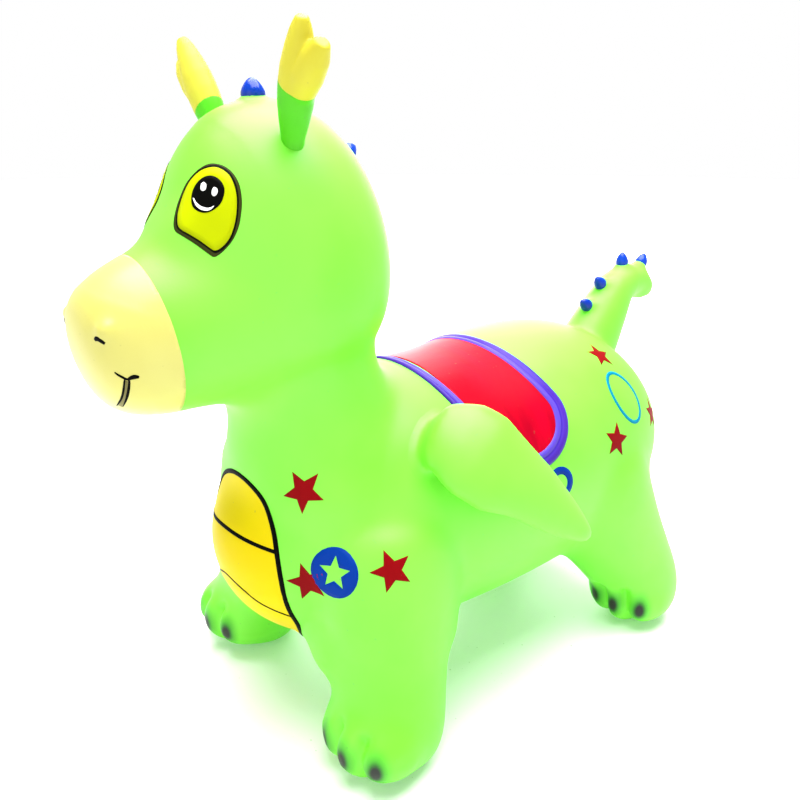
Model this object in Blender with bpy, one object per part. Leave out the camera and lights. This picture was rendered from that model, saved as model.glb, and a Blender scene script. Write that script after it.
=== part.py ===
"""Ride-on inflatable hopper in the shape of a small dragon.

A cast PVC skin stands on four feet and faces -Y. The horns, the wings and the tail bend at their
roots, and a plug closes the filling hole under the belly. Units are metres and +Z is up.
"""

import math

import bmesh
import bpy
from mathutils import Matrix, Vector
from mathutils.bvhtree import BVHTree

for old in list(bpy.data.objects):
    bpy.data.objects.remove(old)

# Main sizes: every ring and place below is drawn for these and follows them
LENGTH = 0.6105         # nose to the end of the tail
HEIGHT = 0.5330         # floor to the tips of the horns
WIDTH = 0.3407          # wing to wing
DRAWN = (0.3407, 0.6105, 0.5330)  # the sizes that the tables are drawn for

# Skin and clearances
WALL = 0.002            # thickness of the cast PVC
GAP = 0.0003            # between pieces that rest on each other
PIVOT_GAP = 0.0009      # round the root of a piece that bends
COAT = 0.0012           # height of a painted zone above the skin
COAT_GAP = 0.0006       # the coat keeps this far off the skin
RIM_HEIGHT = 0.0025     # height of the raised saddle rim

# Rings along the torso: y, lowest z, highest z, half width
TORSO_RINGS = (
    (-0.187, 0.172, 0.234, 0.030),
    (-0.180, 0.130, 0.260, 0.062),
    (-0.157, 0.080, 0.282, 0.092),
    (-0.112, 0.058, 0.292, 0.110),
    (-0.052, 0.053, 0.288, 0.117),
    (0.018, 0.053, 0.289, 0.121),
    (0.093, 0.057, 0.296, 0.124),
    (0.160, 0.070, 0.295, 0.119),
    (0.206, 0.094, 0.278, 0.101),
    (0.240, 0.134, 0.246, 0.068),
    (0.253, 0.165, 0.216, 0.032),
)

# Rings up the neck and the cranium, and out along the muzzle: y, z, half width, half depth
NECK_RINGS = (
    (-0.111, 0.200, 0.088, 0.080),
    (-0.127, 0.245, 0.076, 0.077),
    (-0.134, 0.282, 0.062, 0.061),
    (-0.142, 0.315, 0.066, 0.066),
    (-0.143, 0.360, 0.070, 0.070),
)
CRANIUM_RINGS = (
    (-0.141, 0.306, 0.060, 0.055),
    (-0.143, 0.328, 0.077, 0.073),
    (-0.146, 0.363, 0.086, 0.083),
    (-0.154, 0.408, 0.081, 0.082),
    (-0.161, 0.447, 0.065, 0.070),
    (-0.167, 0.475, 0.042, 0.047),
    (-0.170, 0.490, 0.018, 0.019),
)
MUZZLE_RINGS = (
    (-0.125, 0.360, 0.074, 0.064),
    (-0.155, 0.360, 0.080, 0.073),
    (-0.188, 0.352, 0.073, 0.070),
    (-0.220, 0.344, 0.062, 0.062),
    (-0.249, 0.338, 0.055, 0.055),
    (-0.284, 0.331, 0.047, 0.047),
    (-0.302, 0.328, 0.026, 0.027),
)
BROW_CENTRE = (0.016, -0.188, 0.402)
BROW_HALVES = (0.043, 0.043, 0.056)
BRIDGE_CENTRE = (0.010, -0.206, 0.394)
BRIDGE_HALVES = (0.036, 0.038, 0.040)

# Rings down the left legs: x, y, z, half width, half depth. The right legs mirror them.
FRONT_LEG_RINGS = (
    (0.055, -0.102, 0.190, 0.060, 0.064),
    (0.075, -0.105, 0.140, 0.057, 0.066),
    (0.091, -0.115, 0.095, 0.045, 0.048),
    (0.099, -0.122, 0.060, 0.042, 0.043),
    (0.107, -0.130, 0.030, 0.046, 0.045),
    (0.108, -0.133, -0.004, 0.037, 0.036),
)
HIND_LEG_RINGS = (
    (0.055, 0.123, 0.190, 0.070, 0.070),
    (0.074, 0.135, 0.140, 0.062, 0.064),
    (0.090, 0.160, 0.095, 0.047, 0.050),
    (0.099, 0.179, 0.060, 0.043, 0.044),
    (0.104, 0.192, 0.034, 0.043, 0.041),
    (0.105, 0.195, -0.004, 0.033, 0.032),
)
FRONT_TOES = ((0.078, -0.164), (0.105, -0.162), (0.131, -0.151))
HIND_TOES = ((0.082, 0.163), (0.104, 0.170), (0.126, 0.182))
TOE_HEIGHT = 0.019
TOE_HALVES = (0.0150, 0.0195, 0.0180)

# Where the skin is divided
FOOT_HEIGHT = 0.046
LEG_TOP = 0.118                 # a leg zone ends here on the outside of the flank
LEG_MARGIN = 0.017              # and this far outside the leg's own rings under the belly
NAPE_POINT = (-0.070, 0.295)    # y, z of a point on the cut between head and torso
NECK_SLOPE = 12.0               # degrees that this cut rises towards the tail

# Painted zones
MUZZLE_LINE = (-0.252, 0.345)   # y, z of a point on the edge of the cream muzzle
MUZZLE_LEAN = 8.5               # degrees that this edge leans forward at its top
MUZZLE_REACH = 0.080     # the cream zone is cut this far above and below the line
BELLY_CENTRE_Z = 0.1470
BELLY_HALF_WIDTH = 0.060
BELLY_HALF_HEIGHT = 0.0745
SADDLE_CENTRE = (0.012, 0.248)  # y, z of the middle of the saddle's round lower end
SADDLE_RADIUS = 0.053
SADDLE_LEAN = 0.2               # how far forward the saddle moves per metre of height
RIM_WIDTH = 0.010

# Horns: the left one, from the skull to its main tip, with a side prong
HORN_ROOT = (0.053, -0.165, 0.4635)
HORN_TIP = (0.083, -0.172, 0.533)
PRONG_TIP = (0.097, -0.167, 0.518)
HORN_KNUCKLE = 0.0094
HORN_RADII = (0.0089, 0.0098, 0.0115, 0.0118, 0.0085, 0.0035)
HORN_STEPS = (0.10, 0.26, 0.44, 0.66, 0.88, 0.98)   # shares of the horn's length
PAINT_STEP = 0.40
PRONG_RADIUS = 0.0068

# Wings: rings out along the left one after its root: x, y, z, half chord, half thickness
WING_ROOT = (0.095, -0.0717, 0.2451)
WING_AXIS = (-0.250, 0.720, 0.650)
WING_LIFT = 0.0085
WING_PRESS_STEPS = (3, 6, 9)
WING_KNUCKLE = 0.0165
WING_HALF_ROOT = 0.033
WING_RINGS = (
    (0.1170, -0.0600, 0.2440, 0.0350, 0.0130),
    (0.1260, -0.0516, 0.2400, 0.0385, 0.0140),
    (0.1350, -0.0410, 0.2320, 0.0385, 0.0150),
    (0.1450, -0.0251, 0.2153, 0.0330, 0.0145),
    (0.1530, -0.0080, 0.1970, 0.0240, 0.0125),
    (0.1600, 0.0080, 0.1815, 0.0160, 0.0100),
    (0.1640, 0.0170, 0.1735, 0.0085, 0.0065),
)

# Tail: rings after its root, up and over the hook: y, z, radius
TAIL_KNUCKLE = 0.026
TAIL_RINGS = (
    (0.239, 0.301, 0.0225),
    (0.250, 0.322, 0.0190),
    (0.267, 0.335, 0.0170),
    (0.285, 0.330, 0.0150),
    (0.295, 0.313, 0.0130),
    (0.297, 0.301, 0.0075),
)

# Spikes: base radius and height, and where they stand
CROWN_SPIKE = (0.0085, 0.0125)
NAPE_SPIKE = (0.0070, 0.0105)
TAIL_SPIKE = (0.0066, 0.0095)
CROWN_SPOT = (-0.163, 0.520)    # y, z above the skin, aimed at the middle of the skull
NAPE_SPOT = (-0.070, 0.465)
SKULL_CENTRE = (-0.155, 0.400)
TAIL_SPIKE_SPOTS = ((0.205, 0.309), (0.226, 0.333), (0.259, 0.362), (0.297, 0.353))
TAIL_CORE = ((0.238, 0.299), (0.249, 0.320), (0.262, 0.332), (0.278, 0.333))

# Filling hole under the belly
VALVE_Y = 0.020
COLLAR_RADIUS = 0.0120
COLLAR_FLANGE = 0.0160
COLLAR_FLANGE_THICKNESS = 0.0015
COLLAR_DEPTH = 0.0130
PLUG_RADIUS = 0.0060
PLUG_HEAD_RADIUS = 0.0110
PLUG_HEAD_THICKNESS = 0.0030
PLUG_LENGTH = 0.0180
PLUG_RIB = 0.0006

# Mesh fineness of the cast form
CAGE_SEGMENTS = 12
VOXEL = 0.005
SMOOTHING = 10
DECIMATION = 0.028
LIMB_SEGMENTS = 16


# Main sizes: the tables above, fitted to them
SHARES = {"x": WIDTH / DRAWN[0], "y": LENGTH / DRAWN[1], "z": HEIGHT / DRAWN[2], "-": 1.0}


def fitted(row, axes):
    """Scales each number of a row, or of a table of rows, along the axis that it is measured on."""
    if isinstance(row[0], tuple):
        return tuple(fitted(part, axes) for part in row)
    return tuple(value * SHARES[axis] for value, axis in zip(row, axes))


TORSO_RINGS = fitted(TORSO_RINGS, "yzzx")
NECK_RINGS, CRANIUM_RINGS = fitted(NECK_RINGS, "yzxy"), fitted(CRANIUM_RINGS, "yzxy")
MUZZLE_RINGS = fitted(MUZZLE_RINGS, "yzxz")
BROW_CENTRE, BROW_HALVES = fitted(BROW_CENTRE, "xyz"), fitted(BROW_HALVES, "xyz")
BRIDGE_CENTRE, BRIDGE_HALVES = fitted(BRIDGE_CENTRE, "xyz"), fitted(BRIDGE_HALVES, "xyz")
FRONT_LEG_RINGS, HIND_LEG_RINGS = fitted(FRONT_LEG_RINGS, "xyzxy"), fitted(HIND_LEG_RINGS, "xyzxy")
FRONT_TOES, HIND_TOES = fitted(FRONT_TOES, "xy"), fitted(HIND_TOES, "xy")
NAPE_POINT, MUZZLE_LINE, SADDLE_CENTRE = (
    fitted(place, "yz") for place in (NAPE_POINT, MUZZLE_LINE, SADDLE_CENTRE)
)
HORN_ROOT, HORN_TIP, PRONG_TIP = (fitted(place, "xyz") for place in (HORN_ROOT, HORN_TIP, PRONG_TIP))
WING_ROOT, WING_RINGS = fitted(WING_ROOT, "xyz"), fitted(WING_RINGS, "xyz--")
TAIL_RINGS = fitted(TAIL_RINGS, "yz-")
CROWN_SPOT, NAPE_SPOT, SKULL_CENTRE = (
    fitted(place, "yz") for place in (CROWN_SPOT, NAPE_SPOT, SKULL_CENTRE)
)
TAIL_SPIKE_SPOTS, TAIL_CORE = fitted(TAIL_SPIKE_SPOTS, "yz"), fitted(TAIL_CORE, "yz")
BELLY_CENTRE_Z, VALVE_Y = BELLY_CENTRE_Z * SHARES["z"], VALVE_Y * SHARES["y"]
MUZZLE_REACH = MUZZLE_REACH * SHARES["z"]


def link(name, mesh):
    made = bpy.data.objects.new(name, mesh)
    bpy.context.scene.collection.objects.link(made)
    return made


def mesh_from(bm, name):
    """A mesh from a bmesh whose faces are first turned to point out."""
    bmesh.ops.recalc_face_normals(bm, faces=bm.faces)
    mesh = bpy.data.meshes.new(name)
    bm.to_mesh(mesh)
    bm.free()
    return mesh


def helper(name, mesh):
    """An object that only shapes others."""
    made = link(name, mesh)
    made.hide_render = True
    made.display_type = "WIRE"
    return made


def paint(made, colour, roughness):
    material = bpy.data.materials.new(made.name)
    material.use_nodes = True
    shader = material.node_tree.nodes["Principled BSDF"]
    shader.inputs["Base Color"].default_value = (*colour, 1.0)
    shader.inputs["Roughness"].default_value = roughness
    made.data.materials.clear()
    made.data.materials.append(material)


def ring_matrix(centre, along, side, half_side, half_other):
    """Places a unit circle square to along, with its x axis near side."""
    across = (side - along * side.dot(along)).normalized()
    other = along.cross(across)
    matrix = Matrix.Identity(4)
    matrix.col[0] = (*(across * half_side), 0.0)
    matrix.col[1] = (*(other * half_other), 0.0)
    matrix.col[2] = (*along, 0.0)
    matrix.col[3] = (*centre, 1.0)
    return matrix


def add_tube(bm, rings, side, segments, stretch=1.0, open_start=False, open_end=False):
    """Bridges rings of (centre, half side, half other) into one tube, capped unless open."""
    loops = []
    side = Vector(side)
    last = len(rings) - 1
    for index, (centre, half_side, half_other) in enumerate(rings):
        before = Vector(rings[max(index - 1, 0)][0])
        after = Vector(rings[min(index + 1, last)][0])
        along = (after - before).normalized()
        capped = (index == 0 and not open_start) or (index == last and not open_end)
        matrix = ring_matrix(centre, along, side, half_side * stretch, half_other * stretch)
        made = bmesh.ops.create_circle(
            bm, cap_ends=capped, segments=segments, radius=1.0, matrix=matrix
        )
        points = set(made["verts"])
        edges = {edge for point in points for edge in point.link_edges}
        loops.append([edge for edge in edges if set(edge.verts) <= points])
    for first, second in zip(loops, loops[1:]):
        bmesh.ops.bridge_loops(bm, edges=first + second)


def add_ball(bm, centre, halves, segments=16):
    matrix = Matrix.Translation(centre) @ Matrix.Diagonal((*halves, 1.0))
    bmesh.ops.create_uvsphere(
        bm, u_segments=segments, v_segments=segments // 2 + 2, radius=1.04, matrix=matrix
    )


def mid_rings(rows):
    """Rings on the middle plane from rows of y, z, half width, half depth."""
    return [((0.0, y, z), width, depth) for y, z, width, depth in rows]


def side_rings(rows, sign):
    return [((sign * x, y, z), width, depth) for x, y, z, width, depth in rows]


def evaluated_mesh(made, name):
    """The object's mesh with its modifiers applied."""
    graph = bpy.context.evaluated_depsgraph_get()
    mesh = bpy.data.meshes.new_from_object(made.evaluated_get(graph))
    mesh.name = name
    return mesh


def cut(made, cutter, operation="DIFFERENCE"):
    modifier = made.modifiers.new(cutter.name, "BOOLEAN")
    modifier.operation = operation
    modifier.object = cutter
    modifier.solver = "EXACT"


def grown(name, mesh, distance):
    """A helper with the mesh's surface moved out by a distance."""
    made = helper(name, mesh.copy())
    modifier = made.modifiers.new("grow", "DISPLACE")
    modifier.direction = "NORMAL"
    modifier.mid_level = 0.0
    modifier.strength = distance
    return made


def shell_modifier(made):
    modifier = made.modifiers.new("wall", "SOLIDIFY")
    modifier.thickness = WALL
    modifier.offset = -1.0
    modifier.use_even_offset = True


def block(name, lowest, highest, turn=0.0, about=(0.0, 0.0, 0.0)):
    """A box helper, turned about the X direction through a point."""
    bm = bmesh.new()
    lowest = Vector(lowest)
    highest = Vector(highest)
    place = Matrix.Translation((lowest + highest) / 2) @ Matrix.Diagonal((*(highest - lowest), 1.0))
    bmesh.ops.create_cube(bm, size=1.0, matrix=place)
    swing = Matrix.Translation(about) @ Matrix.Rotation(turn, 4, "X") @ Matrix.Translation(-Vector(about))
    bmesh.ops.transform(bm, matrix=swing, verts=bm.verts)
    return helper(name, mesh_from(bm, name))


def prism(name, outline, push):
    """A helper made by pushing a flat outline along a vector."""
    bm = bmesh.new()
    face = bm.faces.new([bm.verts.new(point) for point in outline])
    made = bmesh.ops.extrude_face_region(bm, geom=[face])
    moved = [item for item in made["geom"] if isinstance(item, bmesh.types.BMVert)]
    bmesh.ops.translate(bm, vec=push, verts=moved)
    return helper(name, mesh_from(bm, name))


def hang(made, pivot):
    """Parents a world-space mesh to its pivot without moving it."""
    made.data.transform(Matrix.Translation(-pivot.location))
    made.parent = pivot


def pivot_empty(name, place):
    made = link(name, None)
    made.empty_display_size = 0.02
    made.location = place
    bpy.context.view_layer.update()
    return made


# The cast form: closed tubes and balls, welded into one smooth surface
form_bm = bmesh.new()
cage_stretch = 6.0 / (4.0 + 2.0 * math.cos(2.0 * math.pi / CAGE_SEGMENTS))
torso_rings = [
    ((0.0, y, (low + high) / 2), width, (high - low) / 2) for y, low, high, width in TORSO_RINGS
]
middle_tubes = (torso_rings, mid_rings(NECK_RINGS), mid_rings(CRANIUM_RINGS), mid_rings(MUZZLE_RINGS))
for tube in middle_tubes:
    add_tube(form_bm, tube, (1, 0, 0), CAGE_SEGMENTS, cage_stretch)
for sign in (1, -1):
    for leg in (FRONT_LEG_RINGS, HIND_LEG_RINGS):
        add_tube(form_bm, side_rings(leg, sign), (1, 0, 0), CAGE_SEGMENTS, cage_stretch)
    for x, y in FRONT_TOES + HIND_TOES:
        add_ball(form_bm, (sign * x, y, TOE_HEIGHT), TOE_HALVES)
    add_ball(form_bm, (sign * BROW_CENTRE[0], *BROW_CENTRE[1:]), BROW_HALVES)
    add_ball(form_bm, (sign * BRIDGE_CENTRE[0], *BRIDGE_CENTRE[1:]), BRIDGE_HALVES)
form = helper("cast_form", mesh_from(form_bm, "cast_form"))
rounding = form.modifiers.new("round", "SUBSURF")
rounding.levels = 2
rounding.render_levels = 2
weld = form.modifiers.new("weld", "REMESH")
weld.mode = "VOXEL"
weld.voxel_size = VOXEL
soften = form.modifiers.new("soften", "SMOOTH")
soften.factor = 0.5
soften.iterations = SMOOTHING
thin = form.modifiers.new("thin", "DECIMATE")
thin.ratio = DECIMATION
same_sides = form.modifiers.new("same_sides", "MIRROR")
same_sides.use_bisect_axis[0] = True
same_sides.use_clip = True
same_sides.merge_threshold = 0.0001
floor_block = block("floor_block", (-0.4, -0.5, -0.1), (0.4, 0.5, 0.0))
cut(form, floor_block)
skin_mesh = evaluated_mesh(form, "skin")
skin_bm = bmesh.new()
skin_bm.from_mesh(skin_mesh)
skin_tree = BVHTree.FromBMesh(skin_bm)
skin_bm.free()


def seat(start, toward):
    """The point and normal where a line from start first meets the skin."""
    place, normal, _, _ = skin_tree.ray_cast(Vector(start), (Vector(toward) - Vector(start)).normalized())
    return place, normal


GREEN = (0.30, 0.80, 0.08)
CREAM = (0.93, 0.88, 0.42)
YELLOW = (0.92, 0.82, 0.08)
BLUE = (0.02, 0.10, 0.55)
RED = (0.75, 0.02, 0.09)
PURPLE = (0.22, 0.13, 0.62)
WHITE = (0.85, 0.85, 0.82)

# Skin zones: the same hollow casting, divided at the neck and the ankles
neck_place = (0.0, *NAPE_POINT)
neck_turn = math.radians(NECK_SLOPE)
above_neck = block(
    "above_neck", (-0.5, -0.6, NAPE_POINT[1]), (0.5, 0.6, 0.9), neck_turn, neck_place
)
below_neck = block(
    "below_neck", (-0.5, -0.6, -0.5), (0.5, 0.6, NAPE_POINT[1] + GAP), neck_turn, neck_place
)
below_ankle = block("below_ankle", (-0.5, -0.6, -0.3), (0.5, 0.6, FOOT_HEIGHT))


def skin_zone(name):
    made = link(name, skin_mesh.copy())
    shell_modifier(made)
    paint(made, GREEN, 0.38)
    return made


def leg_cutter(name, rows, sign):
    """A mesh round a leg, from the ankle to the flank."""
    upper, lower = rows[1], rows[2]
    share = (upper[2] - LEG_TOP) / (upper[2] - lower[2])
    top = [high + (low - high) * share for high, low in zip(upper, lower)]
    rings = side_rings([top, *rows[2:]], sign)
    rings = [(centre, wide + LEG_MARGIN, deep + LEG_MARGIN) for centre, wide, deep in rings]
    bm = bmesh.new()
    add_tube(bm, rings, (1, 0, 0), 24)
    return mesh_from(bm, name)


torso = skin_zone("torso_skin")
cut(torso, above_neck)
cut(torso, below_ankle)
for word, sign in (("left", 1), ("right", -1)):
    for end, rows in (("front", FRONT_LEG_RINGS), ("hind", HIND_LEG_RINGS)):
        leg_mesh = leg_cutter(f"{end}_{word}_leg_zone", rows, sign)
        cut(torso, grown(f"{end}_{word}_leg_hole", leg_mesh, COAT_GAP))
        leg = skin_zone(f"{end}_{word}_leg")
        cut(leg, helper(f"{end}_{word}_leg_zone", leg_mesh), "INTERSECT")
        cut(leg, below_ankle)
head = skin_zone("head_skin")
cut(head, below_neck)
foot_top = FOOT_HEIGHT - GAP
for word, sign in (("left", 1), ("right", -1)):
    for end, near, far in (("front", -0.6, 0.0), ("hind", 0.0, 0.6)):
        foot = skin_zone(f"{end}_{word}_foot")
        sides = sorted((0.0, sign * 0.5))
        corner = block(f"{end}_{word}_corner", (sides[0], near, -0.3), (sides[1], far, foot_top))
        cut(foot, corner, "INTERSECT")

# Painted zones: thin coats that follow the skin
coat_inside = grown("coat_inside", skin_mesh, COAT_GAP)


def coat(name, height, zone, colour, roughness):
    made = link(name, skin_mesh.copy())
    lift = made.modifiers.new("lift", "DISPLACE")
    lift.direction = "NORMAL"
    lift.mid_level = 0.0
    lift.strength = GAP + height
    cut(made, zone, "INTERSECT")
    cut(made, coat_inside)
    paint(made, colour, roughness)
    return made


muzzle_zone = block(
    "muzzle_zone",
    (-WIDTH, -LENGTH, MUZZLE_LINE[1] - MUZZLE_REACH),
    (WIDTH, MUZZLE_LINE[0], MUZZLE_LINE[1] + MUZZLE_REACH),
    math.radians(MUZZLE_LEAN),
    (0.0, *MUZZLE_LINE),
)
coat("muzzle_coat", COAT, muzzle_zone, CREAM, 0.40)


def saddle_outline(radius):
    """The saddle seen from the side: a tongue with a round lower end, open upwards."""
    points = []
    for step in range(25):
        angle = math.pi * step / 24
        points.append((-radius * math.cos(angle), -radius * math.sin(angle)))
    points.append((radius, 0.08))
    points.append((-radius, 0.08))
    middle_y, middle_z = SADDLE_CENTRE
    return [(-0.3, middle_y + y - SADDLE_LEAN * z, middle_z + z) for y, z in points]


saddle_zone = prism("saddle_zone", saddle_outline(SADDLE_RADIUS - RIM_WIDTH - GAP), (0.6, 0.0, 0.0))
rim_outer = prism("rim_outer", saddle_outline(SADDLE_RADIUS), (0.6, 0.0, 0.0))
rim_inner = prism("rim_inner", saddle_outline(SADDLE_RADIUS - RIM_WIDTH), (0.6, 0.0, 0.0))
coat("saddle_panel", COAT, saddle_zone, RED, 0.35)
saddle_rim = coat("saddle_rim", RIM_HEIGHT, rim_outer, PURPLE, 0.35)
cut(saddle_rim, rim_inner)

belly_outline = []
for step in range(32):
    angle = 2.0 * math.pi * step / 32
    across = BELLY_HALF_WIDTH * math.cos(angle)
    belly_outline.append((across, -0.4, BELLY_CENTRE_Z + BELLY_HALF_HEIGHT * math.sin(angle)))
belly_zone = prism("belly_zone", belly_outline, (0.0, 0.3, 0.0))
coat("belly_panel", COAT, belly_zone, YELLOW, 0.40)


# Pieces that bend: each root is a knuckle that turns inside a hole in the skin
def knuckle_rings(pivot, along, half_length, radius, lean):
    """Rings of the half of the knuckle that lies inside the skin, then its waist outside."""
    rings = []
    for share in (-0.88, -0.62, -0.30, 0.0):
        shrink = math.sqrt(1.0 - share * share)
        rings.append((pivot + along * radius * share, half_length * shrink, radius * shrink))
    waist = math.cos(lean)
    rings.append((pivot + along * radius * math.sin(lean), half_length * waist, radius * waist))
    return rings


def knuckle_hole(name, pivot, axis, half_length, radius):
    """A helper with the knuckle's shape, clear of it all round."""
    bm = bmesh.new()
    turn = axis.to_track_quat("Z", "Y").to_matrix().to_4x4()
    across = radius + PIVOT_GAP
    size = Matrix.Diagonal((across, across, half_length + PIVOT_GAP, 1.0))
    place = Matrix.Translation(pivot) @ turn @ size
    bmesh.ops.create_uvsphere(bm, u_segments=32, v_segments=20, radius=1.0, matrix=place)
    return helper(name, mesh_from(bm, name))


def limb(name, rings, side, colour, pivot, open_end=False):
    """A hollow limb, open at its root so that the air inside joins the body's."""
    bm = bmesh.new()
    add_tube(bm, rings, side, LIMB_SEGMENTS, 1.0, True, open_end)
    made = link(name, mesh_from(bm, name))
    made.data.shade_smooth()
    hang(made, pivot)
    shell_modifier(made)
    paint(made, colour, 0.38)
    return made


def spike(name, place, normal, size, under):
    """A rounded cone seated on the surface under it."""
    radius, height = size
    bm = bmesh.new()
    steps = ((-0.40, 1.0), (0.10, 1.0), (0.45, 0.86), (0.78, 0.58), (1.0, 0.22))
    rings = [(place + normal * height * up, radius * wide, radius * wide) for up, wide in steps]
    add_tube(bm, rings, (1, 0, 0), 14)
    made = link(name, mesh_from(bm, name))
    cut(made, under)
    paint(made, BLUE, 0.20)
    return made


for word, sign in (("left", 1), ("right", -1)):
    # Horn: shaft and painted tip turn together about an axis across the head
    root = Vector((sign * HORN_ROOT[0], *HORN_ROOT[1:]))
    tip = Vector((sign * HORN_TIP[0], *HORN_TIP[1:]))
    root, _ = seat(tip, root)
    along = (tip - root).normalized()
    length = (tip - root).length
    horn_axis = Vector((0, 1, 0)).cross(along).normalized()
    hole = knuckle_hole(f"horn_hole_{word}", root, horn_axis, HORN_KNUCKLE, HORN_KNUCKLE)
    cut(head, hole)
    horn_pivot = pivot_empty(f"horn_pivot_{word}", root)
    rings = knuckle_rings(root, along, HORN_KNUCKLE, HORN_KNUCKLE, math.radians(20))
    shaft = [(root + along * length * at, r, r) for at, r in zip(HORN_STEPS, HORN_RADII)]
    low = [ring for ring, at in zip(shaft, HORN_STEPS) if PAINT_STEP > at > 0.2]
    high = [ring for ring, at in zip(shaft, HORN_STEPS) if at > PAINT_STEP]
    line_radius = (HORN_RADII[1] + HORN_RADII[2]) / 2
    line = root + along * length * PAINT_STEP
    low.append((line, line_radius, line_radius))
    high.insert(0, (line + along * GAP, line_radius, line_radius))
    limb(f"horn_{word}", rings + low, (0, 1, 0), GREEN, horn_pivot, open_end=True)
    tip_bm = bmesh.new()
    add_tube(tip_bm, high, (0, 1, 0), LIMB_SEGMENTS)
    horn_tip = link(f"horn_tip_{word}", mesh_from(tip_bm, f"horn_tip_{word}"))
    hang(horn_tip, horn_pivot)
    prong_bm = bmesh.new()
    fork = root + along * length * 0.62
    prong_end = Vector((sign * PRONG_TIP[0], *PRONG_TIP[1:]))
    prong = [
        (fork.lerp(prong_end, share), PRONG_RADIUS * wide, PRONG_RADIUS * wide)
        for share, wide in ((0.0, 1.0), (0.45, 1.0), (0.80, 0.80), (1.0, 0.35))
    ]
    add_tube(prong_bm, prong, (0, 1, 0), 12)
    prong_form = helper(f"prong_{word}", mesh_from(prong_bm, f"prong_{word}"))
    cut(horn_tip, prong_form, "UNION")
    paint(horn_tip, YELLOW, 0.38)

    # Wing: a flat lobe that swings about the line where it leaves the flank
    root = Vector((sign * WING_ROOT[0], *WING_ROOT[1:]))
    axis = Vector((sign * WING_AXIS[0], *WING_AXIS[1:])).normalized()
    first = Vector((sign * WING_RINGS[0][0], *WING_RINGS[0][1:3]))
    root, normal = seat(first, root)
    root = root + normal * WING_LIFT
    along = (first - root).normalized()
    axis = (axis - along * axis.dot(along)).normalized()
    hole = knuckle_hole(f"wing_hole_{word}", root, axis, WING_HALF_ROOT, WING_KNUCKLE)
    cut(torso, hole)
    wing_pivot = pivot_empty(f"wing_pivot_{word}", root)
    rings = knuckle_rings(root, along, WING_HALF_ROOT, WING_KNUCKLE, math.radians(30))
    rings += side_rings(WING_RINGS, sign)
    limb(f"wing_{word}", rings, axis, GREEN, wing_pivot)
    for degrees in WING_PRESS_STEPS:
        swing = Matrix.Rotation(math.radians(sign * degrees), 3, axis)
        pressed = [
            (root + swing @ (Vector(centre) - root), wide + PIVOT_GAP, deep + PIVOT_GAP)
            for centre, wide, deep in rings[3:8]
        ]
        pressed_bm = bmesh.new()
        add_tube(pressed_bm, pressed, axis, LIMB_SEGMENTS)
        pressed_name = f"wing_{word}_pressed_{degrees}"
        cut(torso, helper(pressed_name, mesh_from(pressed_bm, pressed_name)))
    print(f"{word} wing pivot", tuple(round(v, 5) for v in root), "axis", tuple(round(v, 4) for v in axis))
    print(f"{word} horn pivot", tuple(round(v, 5) for v in horn_pivot.location))
    print(f"{word} horn axis", tuple(round(v, 4) for v in horn_axis))

# Tail: bends up and down where it leaves the rump
first = Vector((0.0, *TAIL_RINGS[0][:2]))
second = Vector((0.0, *TAIL_RINGS[1][:2]))
root, _ = seat(first, first + (first - second))
along = (first - root).normalized()
tail_axis = Vector((1, 0, 0))
cut(torso, knuckle_hole("tail_hole", root, tail_axis, TAIL_KNUCKLE, TAIL_KNUCKLE))
tail_pivot = pivot_empty("tail_pivot", root)
rings = knuckle_rings(root, along, TAIL_KNUCKLE, TAIL_KNUCKLE, math.radians(22))
rings += [((0.0, y, z), radius, radius) for y, z, radius in TAIL_RINGS]
limb("tail", rings, (1, 0, 0), GREEN, tail_pivot)
under_bm = bmesh.new()
under_rings = [(centre, side + GAP, other + GAP) for centre, side, other in rings]
add_tube(under_bm, under_rings, (1, 0, 0), LIMB_SEGMENTS)
tail_tree = BVHTree.FromBMesh(under_bm)
tail_under = helper("tail_under", mesh_from(under_bm, "tail_under"))
for index, (spot, core) in enumerate(zip(TAIL_SPIKE_SPOTS, TAIL_CORE), start=1):
    start = Vector((0.0, *spot))
    aim = (Vector((0.0, *core)) - start).normalized()
    place, _, _, _ = tail_tree.ray_cast(start, aim)
    tail_spike = spike(f"tail_spike_{index}", place, -aim, TAIL_SPIKE, tail_under)
    hang(tail_spike, tail_pivot)
print("tail pivot", tuple(round(v, 5) for v in root))

# Spikes on the head, seated on the skin
for name, spot, size in (("crown_spike", CROWN_SPOT, CROWN_SPIKE), ("nape_spike", NAPE_SPOT, NAPE_SPIKE)):
    start = Vector((0.0, *spot))
    aim = (Vector((0.0, *SKULL_CENTRE)) - start).normalized()
    place, _ = seat(start, start + aim)
    spike(name, place, -aim, size, coat_inside)


# Filling hole: a collar through the belly and the plug that is pulled out of it
def turned(name, profile, place):
    """A closed profile of (radius, z) turned about Z."""
    bm = bmesh.new()
    points = [bm.verts.new((radius, 0.0, z)) for radius, z in profile]
    edges = [bm.edges.new(pair) for pair in zip(points, points[1:] + points[:1])]
    bmesh.ops.spin(
        bm, geom=points + edges, cent=(0, 0, 0), axis=(0, 0, 1), angle=2 * math.pi, steps=20, use_merge=True
    )
    bmesh.ops.remove_doubles(bm, verts=bm.verts, dist=1e-6)
    made = link(name, mesh_from(bm, name))
    made.location = place
    made.data.shade_smooth()
    return made


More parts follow.
